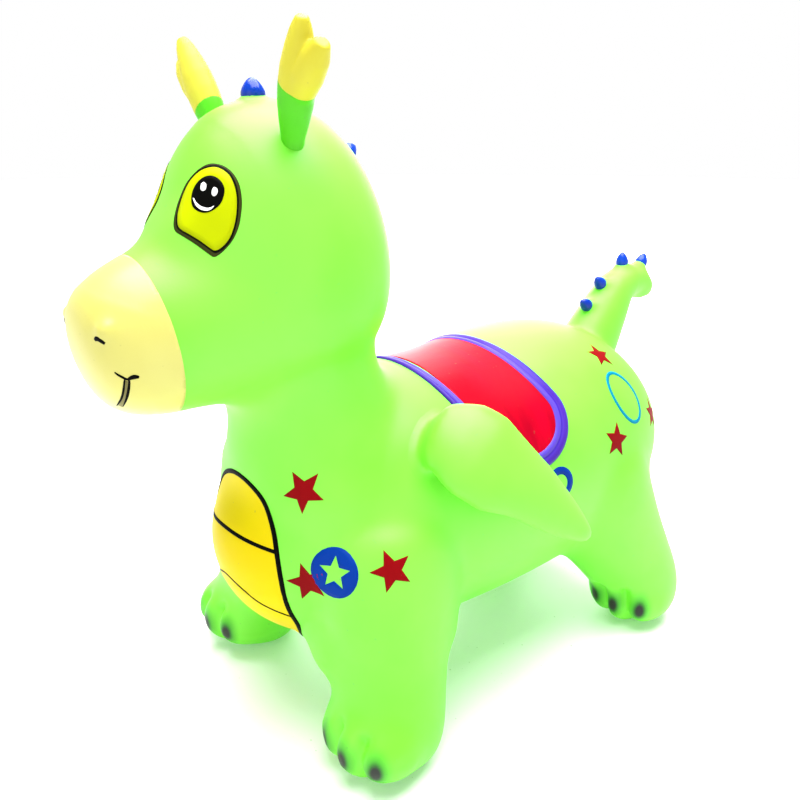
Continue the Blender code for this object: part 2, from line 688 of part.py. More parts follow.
under_flange = []
for step in range(16):
    angle = 2.0 * math.pi * step / 16
    x = COLLAR_FLANGE * math.cos(angle)
    y = VALVE_Y + COLLAR_FLANGE * math.sin(angle)
    for share in (0.75, 1.0):
        skin_point, _ = seat((x * share, y, -0.1), (x * share, y, 0.2))
        under_flange.append(skin_point.z)
skin_point, _ = seat((0.0, VALVE_Y, -0.1), (0.0, VALVE_Y, 0.2))
under_flange.append(skin_point.z)
valve_place = Vector((0.0, VALVE_Y, min(under_flange) - GAP))
inner = PLUG_RADIUS + PLUG_RIB + GAP
collar_profile = (
    (inner, -COLLAR_FLANGE_THICKNESS),
    (COLLAR_FLANGE, -COLLAR_FLANGE_THICKNESS),
    (COLLAR_FLANGE, 0.0),
    (COLLAR_RADIUS, 0.0),
    (COLLAR_RADIUS, COLLAR_DEPTH),
    (inner, COLLAR_DEPTH),
)
collar = turned("valve_collar", collar_profile, valve_place)
paint(collar, GREEN, 0.40)
valve_bm = bmesh.new()
valve_hole_place = Matrix.Translation(valve_place)
bmesh.ops.create_cone(
    valve_bm, cap_ends=True, segments=32, radius1=COLLAR_RADIUS + GAP, radius2=COLLAR_RADIUS + GAP,
    depth=0.06, matrix=valve_hole_place,
)
cut(torso, helper("valve_hole", mesh_from(valve_bm, "valve_hole")))
plug_top = -COLLAR_FLANGE_THICKNESS - GAP
plug_profile = [
    (0.0, plug_top - PLUG_HEAD_THICKNESS),
    (PLUG_HEAD_RADIUS - 0.001, plug_top - PLUG_HEAD_THICKNESS),
    (PLUG_HEAD_RADIUS, plug_top - PLUG_HEAD_THICKNESS + 0.001),
    (PLUG_HEAD_RADIUS, plug_top),
    (PLUG_RADIUS, plug_top),
]
for rib in range(2):
    base = 0.004 + rib * 0.006
    plug_profile += [
        (PLUG_RADIUS, base),
        (PLUG_RADIUS + PLUG_RIB, base + 0.0005),
        (PLUG_RADIUS, base + 0.0025),
    ]
plug_profile += [(PLUG_RADIUS - 0.001, PLUG_LENGTH), (0.0, PLUG_LENGTH)]
plug = turned("air_plug", plug_profile, valve_place)
paint(plug, WHITE, 0.45)
print("valve", tuple(round(v, 5) for v in valve_place))
for zone in (torso, head):
    zone.data.shade_smooth()
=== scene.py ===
# %% [markdown]
# # Animal hopper
# A hopper is an air-filled toy that a small child sits on and bounces along. This one is a
# dragon. The real toy is a single soft PVC skin, cast in a mould that turns, with its colours
# sprayed on through stencils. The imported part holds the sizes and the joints. This lesson
# gives it the soft skin, the paint and the light of the photograph.

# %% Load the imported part
import math

import bmesh
import bpy
from mathutils import Matrix, Vector
from mathutils.bvhtree import BVHTree


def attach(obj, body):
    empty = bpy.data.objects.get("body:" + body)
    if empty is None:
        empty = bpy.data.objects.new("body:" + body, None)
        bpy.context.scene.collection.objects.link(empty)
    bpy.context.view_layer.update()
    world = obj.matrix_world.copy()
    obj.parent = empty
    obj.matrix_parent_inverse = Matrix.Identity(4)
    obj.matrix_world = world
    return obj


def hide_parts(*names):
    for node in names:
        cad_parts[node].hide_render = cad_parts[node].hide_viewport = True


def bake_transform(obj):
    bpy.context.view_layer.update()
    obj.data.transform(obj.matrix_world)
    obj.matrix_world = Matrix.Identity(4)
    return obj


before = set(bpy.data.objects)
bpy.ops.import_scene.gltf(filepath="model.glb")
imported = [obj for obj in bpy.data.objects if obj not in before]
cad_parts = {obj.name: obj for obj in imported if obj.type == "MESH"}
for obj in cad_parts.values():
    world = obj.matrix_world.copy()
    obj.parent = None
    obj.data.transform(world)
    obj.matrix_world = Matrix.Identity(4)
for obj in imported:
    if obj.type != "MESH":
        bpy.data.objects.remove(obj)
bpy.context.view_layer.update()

# %% [markdown]
# ## The studio
# The toy stands on a white table that runs out of sight, under a very large soft light. The
# camera looks down a little, from the front and the toy's left. A white world, dimmer overhead,
# fills the shadows, a lit wall behind the toy gives its upper edges a pale sheen, and the
# Standard view keeps bright colours as clean as they are in the photograph.

# %% Camera, lights and floor
scene = bpy.context.scene
scene.view_settings.view_transform = "Standard"


def link(name, data):
    made = bpy.data.objects.new(name, data)
    scene.collection.objects.link(made)
    return made


def add(tree, kind, inputs=None, **settings):
    """Adds a node. An input that is given a socket is linked to it."""
    made = tree.nodes.new(kind)
    for name, value in settings.items():
        setattr(made, name, value)
    for name, value in (inputs or {}).items():
        if isinstance(value, bpy.types.NodeSocket):
            tree.links.new(value, made.inputs[name])
        else:
            made.inputs[name].default_value = value
    return made


lens = bpy.data.cameras.new("photo_camera")
lens.sensor_width = 36.0
lens.lens = 36.22
lens.clip_start = 0.01
camera = link("photo_camera", lens)
yaw, pitch = math.radians(51.64), math.radians(18.7)
back = Vector((math.sin(yaw) * math.cos(pitch), -math.cos(yaw) * math.cos(pitch), math.sin(pitch)))
camera.location = (0.517, -0.444, 0.471)
camera.rotation_euler = (-back).to_track_quat("-Z", "Y").to_euler()
scene.camera = camera


def soft_box(name, place, aim, size, power):
    """A square area light that faces a point."""
    lamp = bpy.data.lights.new(name, "AREA")
    lamp.size = size
    lamp.energy = power
    made = link(name, lamp)
    made.location = place
    made.rotation_euler = (Vector(aim) - Vector(place)).to_track_quat("-Z", "Y").to_euler()


soft_box("overhead_box", (0.0, 0.05, 1.60), (0.0, 0.0, 0.2), 1.5, 80.0)
soft_box("front_fill", (0.70, -1.60, 0.75), (0.0, 0.0, 0.2), 1.2, 5.0)
soft_box("back_wall", (-1.75, 1.40, 0.95), (0.0, 0.0, 0.25), 2.2, 60.0)

world = bpy.data.worlds.new("white_studio")
world.use_nodes = True
sky = world.node_tree
looking = add(sky, "ShaderNodeTexCoord").outputs["Generated"]
rise = add(sky, "ShaderNodeSeparateXYZ", {"Vector": looking}).outputs["Z"]
fading = {"Value": rise, "From Min": 0.20, "From Max": 0.55, "To Min": 1.0, "To Max": 0.40}
fade = add(sky, "ShaderNodeMapRange", fading).outputs["Result"]
sky.nodes["Background"].inputs["Color"].default_value = (1.0, 1.0, 1.0, 1.0)
sky.links.new(fade, sky.nodes["Background"].inputs["Strength"])
scene.world = world


def to_mesh(bm, name):
    mesh = bpy.data.meshes.new(name)
    bm.to_mesh(mesh)
    bm.free()
    return mesh


floor_bm = bmesh.new()
bmesh.ops.create_circle(
    floor_bm, cap_ends=True, segments=96, radius=8.0, matrix=Matrix.Translation((0, 0, -0.0002))
)
floor = link("floor", to_mesh(floor_bm, "floor"))

# %% [markdown]
# ## Soft PVC, painted
# Every colour on the toy is the same soft plastic or a thin spray coat on it, so one node group
# serves them all. It clouds the colour a little, as an uneven spray does, adds the small dark
# specks that a casting carries, and gives the fine grain of the mould. The claws are sprayed over
# it. Painted light and shade go over it too: a pale painted highlight on the inner strand of the
# saddle rim, a dark line of painted shade in its groove, darker streaks of painted shade on the
# saddle where slight waves would be, and a deeper green of painted shade on the horn shafts. The
# green skin gives off a faint green glow, painted light that lifts its shaded sides, and the
# table glows more the farther it runs.

# %% The shared surface and the paints
def ramp(tree, value, low, high, start=0.0, end=1.0):
    """A smooth step of a value."""
    made = add(
        tree, "ShaderNodeMapRange",
        {"Value": value, "From Min": low, "From Max": high, "To Min": start, "To Max": end},
        interpolation_type="SMOOTHSTEP",
    )
    return made.outputs["Result"]


def mix(tree, share, first, second):
    made = add(tree, "ShaderNodeMix", {0: share, 6: first, 7: second}, data_type="RGBA")
    return made.outputs[2]


def srgb(red, green, blue):
    """A screen colour of 0 to 255 as the linear colour that a shader takes."""
    shares = [value / 255.0 for value in (red, green, blue)]
    linear = [v / 12.92 if v < 0.04045 else ((v + 0.055) / 1.055) ** 2.4 for v in shares]
    return (*linear, 1.0)


pvc = bpy.data.node_groups.new("soft_pvc", "ShaderNodeTree")
for way, sockets in (
    ("INPUT", {"Paint": "Color", "Deep": "Color", "Gloss": "Float"}),
    ("OUTPUT", {"Color": "Color", "Roughness": "Float", "Height": "Float"}),
):
    for label, kind in sockets.items():
        pvc.interface.new_socket(label, in_out=way, socket_type=f"NodeSocket{kind}")
given, result = add(pvc, "NodeGroupInput").outputs, add(pvc, "NodeGroupOutput").inputs
spot = add(pvc, "ShaderNodeTexCoord").outputs["Object"]
cloud = add(pvc, "ShaderNodeTexNoise", {"Vector": spot, "Scale": 9.0, "Detail": 3.0}).outputs["Fac"]
grain = add(pvc, "ShaderNodeTexNoise", {"Vector": spot, "Scale": 520.0, "Detail": 2.0}).outputs["Fac"]
speck = add(pvc, "ShaderNodeTexNoise", {"Vector": spot, "Scale": 330.0, "Detail": 0.0}).outputs["Fac"]
clouded = mix(pvc, ramp(pvc, cloud, 0.38, 0.70), given["Paint"], given["Deep"])
specked = mix(pvc, ramp(pvc, speck, 0.82, 0.87, 0.0, 0.35), clouded, (0.10, 0.12, 0.05, 1.0))
pvc.links.new(specked, result["Color"])
dull = ramp(pvc, cloud, 0.3, 0.7, 0.52, 0.42)
rough = add(pvc, "ShaderNodeMath", {0: dull, 1: given["Gloss"]}, operation="SUBTRACT")
pvc.links.new(rough.outputs["Value"], result["Roughness"])
pvc.links.new(grain, result["Height"])


def soft_material(name, paint, deep, gloss=0.0, shine=0.25, over=None, grain_depth=0.12):
    """A material with the shared surface. What is laid over the colour, sprayed marks or painted light and
    shade, comes from a function.
    """
    material = bpy.data.materials.new(name)
    material.use_nodes = True
    tree = material.node_tree
    shader = tree.nodes["Principled BSDF"]
    inputs = {"Paint": srgb(*paint), "Deep": srgb(*deep), "Gloss": gloss}
    surface = add(tree, "ShaderNodeGroup", inputs, node_tree=pvc)
    bump = add(
        tree, "ShaderNodeBump",
        {"Height": surface.outputs["Height"], "Strength": grain_depth, "Distance": 0.0004},
    )
    colour = surface.outputs["Color"]
    tree.links.new(over(tree, colour) if over else colour, shader.inputs["Base Color"])
    tree.links.new(surface.outputs["Roughness"], shader.inputs["Roughness"])
    tree.links.new(bump.outputs["Normal"], shader.inputs["Normal"])
    shader.inputs["Specular IOR Level"].default_value = shine
    return material


def claw_spray(tree, colour):
    """Soft black spots with a deep green haze, by the distance to the nearest claw in millimetres."""
    away = add(tree, "ShaderNodeAttribute", attribute_name="claw").outputs["Fac"]
    hazed = mix(tree, ramp(tree, away, 4.0, 15.0, 0.9, 0.0), colour, srgb(36, 150, 8))
    return mix(tree, ramp(tree, away, 2.8, 7.5, 1.0, 0.0), hazed, srgb(5, 9, 3))


def rim_highlight_and_groove_shade(tree, colour):
    """The double cord: a pale inner strand that is a painted highlight, a dark line of painted shade along
    the groove and a deeper outer strand.
    """
    across = add(tree, "ShaderNodeAttribute", attribute_name="across").outputs["Fac"]
    banded = mix(tree, ramp(tree, across, -1.2, 1.2, 1.0, 0.0), colour, RIM_PAINTED_HIGHLIGHT)
    groove = add(tree, "ShaderNodeMath", {0: across, 1: -0.3}, operation="SUBTRACT").outputs["Value"]
    groove = add(tree, "ShaderNodeMath", {0: groove}, operation="ABSOLUTE").outputs["Value"]
    return mix(tree, ramp(tree, groove, 0.25, 0.9, 0.8, 0.0), banded, srgb(54, 28, 150))


def painted_wave_shade(tree, colour):
    """Faint darker streaks down the flank: painted shade that stands for slight waves in the saddle, which
    the surface does not have.
    """
    spot = add(tree, "ShaderNodeTexCoord").outputs["Object"]
    drawn = add(tree, "ShaderNodeMapping", {"Vector": spot, "Scale": (9.0, 70.0, 20.0)}).outputs["Vector"]
    streak = add(tree, "ShaderNodeTexNoise", {"Vector": drawn, "Scale": 1.0, "Detail": 2.0}).outputs["Fac"]
    return mix(tree, ramp(tree, streak, 0.42, 0.66, 0.0, 0.7), colour, srgb(140, 0, 24))


def add_painted_glow(material, colour, strength):
    """Painted light: an emission that makes a material glow though it is no lamp."""
    shader = material.node_tree.nodes["Principled BSDF"]
    shader.inputs["Emission Color"].default_value = colour
    shader.inputs["Emission Strength"].default_value = strength


# The skin and the horns give off a faint green emission: painted light that lifts their shaded sides.
GREEN, GREEN_DEEP, GREEN_PAINTED_LIGHT = (117, 206, 58), (106, 200, 44), (0.08, 1.0, 0.0, 1.0)
SKIN_PAINTED_LIGHT, HORN_PAINTED_LIGHT, TABLE_GLOW, FAR_GLOW = 0.14, 0.02, 0.08, 0.75
RIM_PAINTED_HIGHLIGHT = srgb(80, 60, 172)
green_paint = soft_material("green_pvc", GREEN, GREEN_DEEP, shine=0.4)
# The horn shafts take a deeper green than the skin: painted shade, for the darker look that the light gives
# them.
horn_painted_shade_green = soft_material("green_pvc_horns_painted_shade", (80, 180, 26), (70, 172, 20), shine=0.2)
foot_paint = soft_material("green_pvc_claws", GREEN, GREEN_DEEP, shine=0.4, over=claw_spray)
cream_paint = soft_material("cream_coat", (196, 191, 104), (186, 180, 88), gloss=0.10, shine=0.45)
yellow_paint = soft_material("yellow_coat", (214, 194, 3), (206, 184, 1), shine=0.06)
horn_paint = soft_material("horn_yellow", (192, 184, 56), (184, 174, 40))
blue_paint = soft_material("blue_coat", (0, 54, 166), (0, 40, 146), gloss=0.26, shine=0.28)
# The saddle's darker streaks are painted shade of waves that the surface lacks.
red_paint = soft_material("red_coat", (184, 0, 34), (168, 0, 24), gloss=0.14, shine=0.045, over=painted_wave_shade)
# The rim's pale inner strand is a painted highlight, and its dark groove line is painted shade.
purple_paint = soft_material(
    "purple_coat", (66, 36, 150), (56, 28, 136), gloss=0.14, shine=0.12, over=rim_highlight_and_groove_shade
)
ink_paint = soft_material("black_ink", (7, 7, 6), (4, 4, 4), shine=0.02)
band_paint = soft_material("eye_band", (54, 56, 20), (38, 40, 14), shine=0.05)
shade_paint = soft_material("mouth_shade", (132, 126, 76), (106, 100, 56), shine=0.1)
eye_paint = soft_material("eye_yellow", (170, 182, 0), (158, 172, 0), shine=0.04)
white_paint = soft_material("white_ink", (250, 250, 250), (240, 240, 238))
star_paint = soft_material("star_red", (128, 2, 8), (112, 1, 6), shine=0.05)
royal_paint = soft_material("stencil_blue", (1, 50, 142), (1, 40, 126), shine=0.05)
teal_paint = soft_material("ring_teal", (0, 128, 156), (0, 112, 142), shine=0.05)
plug_paint = soft_material("white_pvc", (214, 214, 206), (202, 202, 192))
floor_paint = soft_material("white_table", (246, 247, 246), (244, 245, 244), grain_depth=0.0)
for paint, strength in ((green_paint, SKIN_PAINTED_LIGHT), (foot_paint, SKIN_PAINTED_LIGHT), (horn_painted_shade_green, HORN_PAINTED_LIGHT)):
    add_painted_glow(paint, GREEN_PAINTED_LIGHT, strength)
add_painted_glow(floor_paint, (1.0, 1.0, 1.0, 1.0), TABLE_GLOW)


def link_painted_glow(tree, strength):
    tree.links.new(strength, tree.nodes["Principled BSDF"].inputs["Emission Strength"])


# The painted glow of the skin fades out near the claws, so the black spots stay dark.
lit = foot_paint.node_tree
away = add(lit, "ShaderNodeAttribute", attribute_name="claw").outputs["Fac"]
link_painted_glow(lit, ramp(lit, away, 4.0, 12.0, 0.0, SKIN_PAINTED_LIGHT))
table = floor_paint.node_tree
spot = add(table, "ShaderNodeTexCoord").outputs["Object"]
reach = add(table, "ShaderNodeVectorMath", {0: spot}, operation="LENGTH").outputs["Value"]
link_painted_glow(table, ramp(table, reach, 0.7, 2.6, TABLE_GLOW, FAR_GLOW))
floor.data.materials.append(floor_paint)
print("materials", len(bpy.data.materials))

# %% [markdown]
# ## The cast skin
# Air pushes a soft casting into round forms that run into each other. Rings give the girth of
# the torso, neck, head and legs at a few places. They are bridged into tubes and rounded, a
# voxel remesh welds the tubes into one surface, and smoothing draws the fillets where they meet.
# Balls add the brow, chest, knees and paws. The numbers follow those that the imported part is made
# from, so the two surfaces agree closely.

# %% Rings, tubes and moulding
TORSO_RINGS = (
    (-0.179, 0.182, 0.248, 0.028), (-0.171, 0.140, 0.270, 0.056), (-0.150, 0.086, 0.286, 0.088),
    (-0.112, 0.058, 0.291, 0.110), (-0.052, 0.053, 0.284, 0.117), (0.018, 0.053, 0.281, 0.121),
    (0.093, 0.057, 0.2965, 0.124), (0.160, 0.070, 0.295, 0.119), (0.206, 0.094, 0.278, 0.101),
    (0.240, 0.134, 0.246, 0.068), (0.253, 0.165, 0.216, 0.032),
)
NECK_RINGS = (
    (-0.114, 0.200, 0.088, 0.080), (-0.122, 0.245, 0.075, 0.074), (-0.131, 0.282, 0.058, 0.057),
    (-0.140, 0.315, 0.064, 0.063), (-0.143, 0.360, 0.070, 0.070),
)
CRANIUM_RINGS = (
    (-0.141, 0.306, 0.060, 0.055), (-0.143, 0.328, 0.077, 0.073), (-0.146, 0.363, 0.086, 0.083),
    (-0.154, 0.408, 0.081, 0.082), (-0.161, 0.447, 0.065, 0.070), (-0.167, 0.475, 0.042, 0.047),
    (-0.170, 0.490, 0.018, 0.019),
)
MUZZLE_RINGS = (
    (-0.125, 0.360, 0.074, 0.064), (-0.155, 0.360, 0.080, 0.073), (-0.188, 0.352, 0.073, 0.070),
    (-0.220, 0.344, 0.062, 0.062), (-0.249, 0.339, 0.055, 0.056), (-0.281, 0.3335, 0.0475, 0.0485),
    (-0.2985, 0.330, 0.027, 0.028),
)
FRONT_LEG_RINGS = (
    (0.055, -0.102, 0.190, 0.060, 0.064), (0.075, -0.105, 0.140, 0.057, 0.066),
    (0.091, -0.115, 0.095, 0.045, 0.048), (0.099, -0.122, 0.060, 0.042, 0.043),
    (0.107, -0.130, 0.030, 0.046, 0.045), (0.108, -0.133, -0.004, 0.037, 0.036),
)
HIND_LEG_RINGS = (
    (0.055, 0.123, 0.190, 0.070, 0.070), (0.074, 0.135, 0.140, 0.062, 0.064),
    (0.090, 0.160, 0.095, 0.047, 0.050), (0.099, 0.179, 0.060, 0.043, 0.044),
    (0.104, 0.192, 0.034, 0.043, 0.041), (0.105, 0.195, -0.004, 0.033, 0.032),
)
TOE_GROOVES = (
    (0.1025, -0.130, 0.048), (0.1290, -0.130, 0.048), (-0.0945, -0.130, 0.048), (-0.1210, -0.130, 0.048),
    (0.0985, 0.192, 0.044), (0.1220, 0.192, 0.044), (-0.0985, 0.192, 0.044), (-0.1220, 0.192, 0.044),
)
CLAWS = (
    (0.0890, -0.130), (0.1157, -0.130), (0.1420, -0.130),
    (-0.0815, -0.130), (-0.1080, -0.130), (-0.1345, -0.130),
    (0.0870, 0.192), (0.1105, 0.192), (0.1340, 0.192),
    (-0.0870, 0.192), (-0.1105, 0.192), (-0.1340, 0.192),
)
BROW_BALLS = (
    ((0.016, -0.188, 0.402), (0.043, 0.043, 0.056)), ((0.010, -0.206, 0.394), (0.036, 0.038, 0.040)),
)
CHEST_BALL = ((0.024, -0.134, 0.206), (0.063, 0.056, 0.047))
KNEE_BALLS = (
    ((0.066, -0.136, 0.088), (0.036, 0.036, 0.038)), ((0.086, -0.080, 0.092), (0.034, 0.030, 0.033)),
)
PAW_BALLS = (
    ((0.108, -0.146, 0.031), (0.0480, 0.0385, 0.0310)), ((0.104, 0.179, 0.028), (0.0430, 0.0390, 0.0280)),
)
CAGE_SEGMENTS, TUBE_SEGMENTS = 12, 24
SIDES = (("left", 1), ("right", -1))
COARSE, FINE = 0.005, 0.003


def bmesh_of(mesh):
    bm = bmesh.new()
    bm.from_mesh(mesh)
    return bm


def ring_edges(circle):
    """The edges of a circle that is not bridged yet."""
    return list({edge for vert in circle["verts"] for edge in vert.link_edges})


def bridge(bm, loops):
    for first, second in zip(loops, loops[1:]):
        bmesh.ops.bridge_loops(bm, edges=first + second)


def add_tube(bm, rings, side, segments=TUBE_SEGMENTS, stretch=1.0):
    """Bridges rings of (centre, half side, half other) into one closed tube."""
    loops = []
    for index, (centre, half_side, half_other) in enumerate(rings):
        before = Vector(rings[max(index - 1, 0)][0])
        after = Vector(rings[min(index + 1, len(rings) - 1)][0])
        along = (after - before).normalized()
        across = (Vector(side) - along * along.dot(Vector(side))).normalized()
        turn = Matrix((across, along.cross(across), along)).transposed().to_4x4()
        size = Matrix.Diagonal((half_side * stretch, half_other * stretch, 1.0, 1.0))
        made = bmesh.ops.create_circle(
            bm, cap_ends=index in (0, len(rings) - 1), segments=segments, radius=1.0,
            matrix=Matrix.Translation(centre) @ turn @ size,
        )
        loops.append(ring_edges(made))
    bridge(bm, loops)


def add_ball(bm, centre, halves):
    place = Matrix.Translation(centre) @ Matrix.Diagonal((*halves, 1.0))
    bmesh.ops.create_uvsphere(bm, u_segments=24, v_segments=16, radius=1.0, matrix=place)


def mesh_from(bm, name):
    bmesh.ops.recalc_face_normals(bm, faces=bm.faces)
    return to_mesh(bm, name)


def moulded(bm, name, voxel, rounds, levels=0):
    """Welds the closed shapes of a bmesh into one smooth surface."""
    made = link(name, mesh_from(bm, name))
    if levels:
        rounding = made.modifiers.new("round", "SUBSURF")
        rounding.levels = rounding.render_levels = levels
    weld = made.modifiers.new("weld", "REMESH")
    weld.mode = "VOXEL"
    weld.voxel_size = voxel
    relax = made.modifiers.new("relax", "SMOOTH")
    relax.factor = 0.5
    relax.iterations = rounds
    graph = bpy.context.evaluated_depsgraph_get()
    mesh = bpy.data.meshes.new_from_object(made.evaluated_get(graph))
    bpy.data.objects.remove(made)
    mesh.name = name
    return mesh


def tree_of(mesh):
    bm = bmesh_of(mesh)
    tree = BVHTree.FromBMesh(bm)
    bm.free()
    return tree


form_bm = bmesh.new()
stretch = 6.0 / (4.0 + 2.0 * math.cos(2.0 * math.pi / CAGE_SEGMENTS))
torso = [((0, y, (low + high) / 2), wide, (high - low) / 2) for y, low, high, wide in TORSO_RINGS]
add_tube(form_bm, torso, (1, 0, 0), CAGE_SEGMENTS, stretch)
for rows in (NECK_RINGS, CRANIUM_RINGS, MUZZLE_RINGS):
    rings = [((0, y, z), wide, deep) for y, z, wide, deep in rows]
    add_tube(form_bm, rings, (1, 0, 0), CAGE_SEGMENTS, stretch)
for sign in (1, -1):
    for rows in (FRONT_LEG_RINGS, HIND_LEG_RINGS):
        rings = [((sign * x, y, z), wide, deep) for x, y, z, wide, deep in rows]
        add_tube(form_bm, rings, (1, 0, 0), CAGE_SEGMENTS, stretch)
    for (x, y, z), halves in (*BROW_BALLS, CHEST_BALL, *KNEE_BALLS, *PAW_BALLS):
        add_ball(form_bm, (sign * x, y, z), halves)
form_mesh = moulded(form_bm, "plain_form", COARSE, 10, levels=2)
print("plain form", len(form_mesh.vertices))

# %% [markdown]
# ## Toes, nostrils and the places of the spikes
# The feet end in three round toes with grooves between them. The nose lifts over each nostril,
# and small mounds carry the blue spikes. The mounds are balls, welded to the plain form. A flat
# cut makes the soles. Creases at the brow, chest, knees and hips are filled, as air pressure fills
# them. Grooves are then pressed in along lines on the skin, and nostrils are raised in the same
# way. Every point also keeps its distance to the nearest claw, which the paint reads.

# %% The skin with its small forms
CROWN_SPOT, NAPE_SPOT, SKULL_CENTRE = (-0.163, 0.520), (-0.070, 0.465), (-0.155, 0.400)
HEAD_MOUND, HEAD_MOUND_SUNK = (0.0105, 0.0105, 0.0060), 0.002
form_tree = tree_of(form_mesh)


def seat(tree, start, toward):
    """The point where a line from start first meets a surface, and the way back along it."""
    aim = (Vector(toward) - Vector(start)).normalized()
    return tree.ray_cast(Vector(start), aim)[0], -aim


def trim(bm, place, out):
    """Cuts off what lies beyond a plane and gives the edges of the cut."""
    everything = bm.verts[:] + bm.edges[:] + bm.faces[:]
    cut = bmesh.ops.bisect_plane(bm, geom=everything, plane_co=place, plane_no=out, clear_outer=True)
    return [item for item in cut["geom_cut"] if isinstance(item, bmesh.types.BMEdge)]


skin_bm = bmesh_of(form_mesh)
for spot_yz in (CROWN_SPOT, NAPE_SPOT):
    place, out = seat(form_tree, (0, *spot_yz), (0, *SKULL_CENTRE))
    add_ball(skin_bm, place - out * HEAD_MOUND_SUNK, HEAD_MOUND)
skin_mesh = moulded(skin_bm, "cast_skin", FINE, 5)
skin_bm = bmesh_of(skin_mesh)
bmesh.ops.holes_fill(skin_bm, edges=trim(skin_bm, (0, 0, 0), (0, 0, -1)))
bmesh.ops.triangulate(skin_bm, faces=[face for face in skin_bm.faces if len(face.verts) > 4])


def close_to(bm, centre, reach):
    return [vert for vert in bm.verts if (vert.co - Vector(centre)).length < reach]


def soften(bm, centre, reach, rounds):
    near = close_to(bm, centre, reach)
    for _ in range(rounds):
        bmesh.ops.smooth_vert(bm, verts=near, factor=0.5, use_axis_x=True, use_axis_y=True, use_axis_z=True)


def fill_hollow(bm, centre, reach, rounds):
    """Fills the creases near a place, as air pressure does, and leaves the rounded parts."""
    bm.normal_update()
    near = close_to(bm, centre, reach)
    before = [(vert.co.copy(), vert.normal.copy()) for vert in near]
    soften(bm, centre, reach, rounds)
    for vert, (place, normal) in zip(near, before):
        share = min(1.0, 2.0 * (1.0 - (place - Vector(centre)).length / reach))
        vert.co = place + normal * max(0.0, (vert.co - place).dot(normal)) * share


def away_from(point, line):
    nearest = []
    for start, end in zip(line, line[1:]):
        share = (point - start).dot(end - start) / (end - start).length_squared
        nearest.append((point - start.lerp(end, max(0.0, min(1.0, share)))).length)
    return min(nearest)


def press(bm, line, half_width, depth):
    """Presses a soft crease into the skin along a line, or raises it where the depth is negative."""
    bm.normal_update()
    middle = sum(line, Vector()) / len(line)
    reach = max((point - middle).length for point in line) + 3 * half_width
    for vert in close_to(bm, middle, reach):
        vert.co -= vert.normal * depth * math.exp(-((away_from(vert.co, line) / half_width) ** 2))


BROW = (0.0, -0.222, 0.405)
CLAW_LEVEL, CLAW_TOP, CLAW_STRETCH, NOT_A_CLAW, TOE_REACH = 0.028, 0.06, 0.6, 99.0, 0.09
GROOVE_LOW, GROOVE_HALF, GROOVE_DEPTH, NOSE_HALF, NOSE_DEPTH = 0.003, 0.0052, 0.0078, 0.0058, -0.0044
fill_hollow(skin_bm, BROW, 0.075, 120)
for sign in (1, -1):
    fill_hollow(skin_bm, (sign * 0.076, -0.112, 0.085), 0.068, 70)
    soften(skin_bm, (sign * 0.070, -0.140, 0.072), 0.050, 24)
    soften(skin_bm, (sign * 0.106, -0.072, 0.100), 0.042, 40)
    fill_hollow(skin_bm, (sign * 0.100, 0.200, 0.165), 0.070, 70)
fill_hollow(skin_bm, (0.0, -0.165, 0.240), 0.105, 100)
soften(skin_bm, (0.0, -0.168, 0.222), 0.098, 40)
soften(skin_bm, BROW, 0.075, 24)
before_tree = BVHTree.FromBMesh(skin_bm)
for sign in (1, -1):
    nose = Vector((sign * 0.0330, -0.2890, 0.3535))
    press(skin_bm, [nose, nose + Vector((0, 0, 0.001))], NOSE_HALF, NOSE_DEPTH)
for x, y, z_top in TOE_GROOVES:
    levels = [GROOVE_LOW + (z_top - GROOVE_LOW) * step / 4 for step in range(5)]
    groove = [seat(before_tree, (x, y - TOE_REACH, z), (x, y, z))[0] for z in levels]
    press(skin_bm, groove, GROOVE_HALF, GROOVE_DEPTH)
claw_tree = BVHTree.FromBMesh(skin_bm)
claw_layer = skin_bm.verts.layers.float.new("claw")
claws = [seat(claw_tree, (x, y - TOE_REACH, CLAW_LEVEL), (x, y, CLAW_LEVEL))[0] for x, y in CLAWS]
for vert in skin_bm.verts:
    vert[claw_layer] = NOT_A_CLAW
    if vert.co.z < CLAW_TOP:
        gaps = [vert.co - claw for claw in claws]
        vert[claw_layer] = 1000 * min(Vector((gap.x, gap.y, gap.z * CLAW_STRETCH)).length for gap in gaps)
skin_mesh = mesh_from(skin_bm, "cast_skin")
skin_tree = tree_of(skin_mesh)


def finish_piece(name, mesh, paint, body, slot, *nodes):
    """Links a finished mesh, paints it, hangs it on its body and hides the imported parts that it stands for.
    """
    made = link(name, mesh)
    mesh.materials.clear()
    mesh.materials.append(paint)
    mesh.shade_smooth()
    if body:
        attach(made, body)
    if nodes:
        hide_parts(*nodes)
    return made


limbs = [f"{end}_{word}" for end in ("front", "hind") for word in ("left", "right")]
skin_nodes = ["torso_skin", "head_skin", *(f"{limb}_{part}" for limb in limbs for part in ("leg", "foot"))]
finish_piece("cast_skin", skin_mesh, foot_paint, "hopper", "green_skin", *skin_nodes)
print("skin", len(skin_mesh.vertices))

# %% [markdown]
# ## Wings and tail
# On the real toy these grow out of the same casting with a soft fillet. Here each is a piece of
# its own. The plain form is moulded again with tubes for the wings and
# the tail, which draws the fillets. What stands clear of the skin is kept, and its border is
# tucked just under the skin, so no step shows.

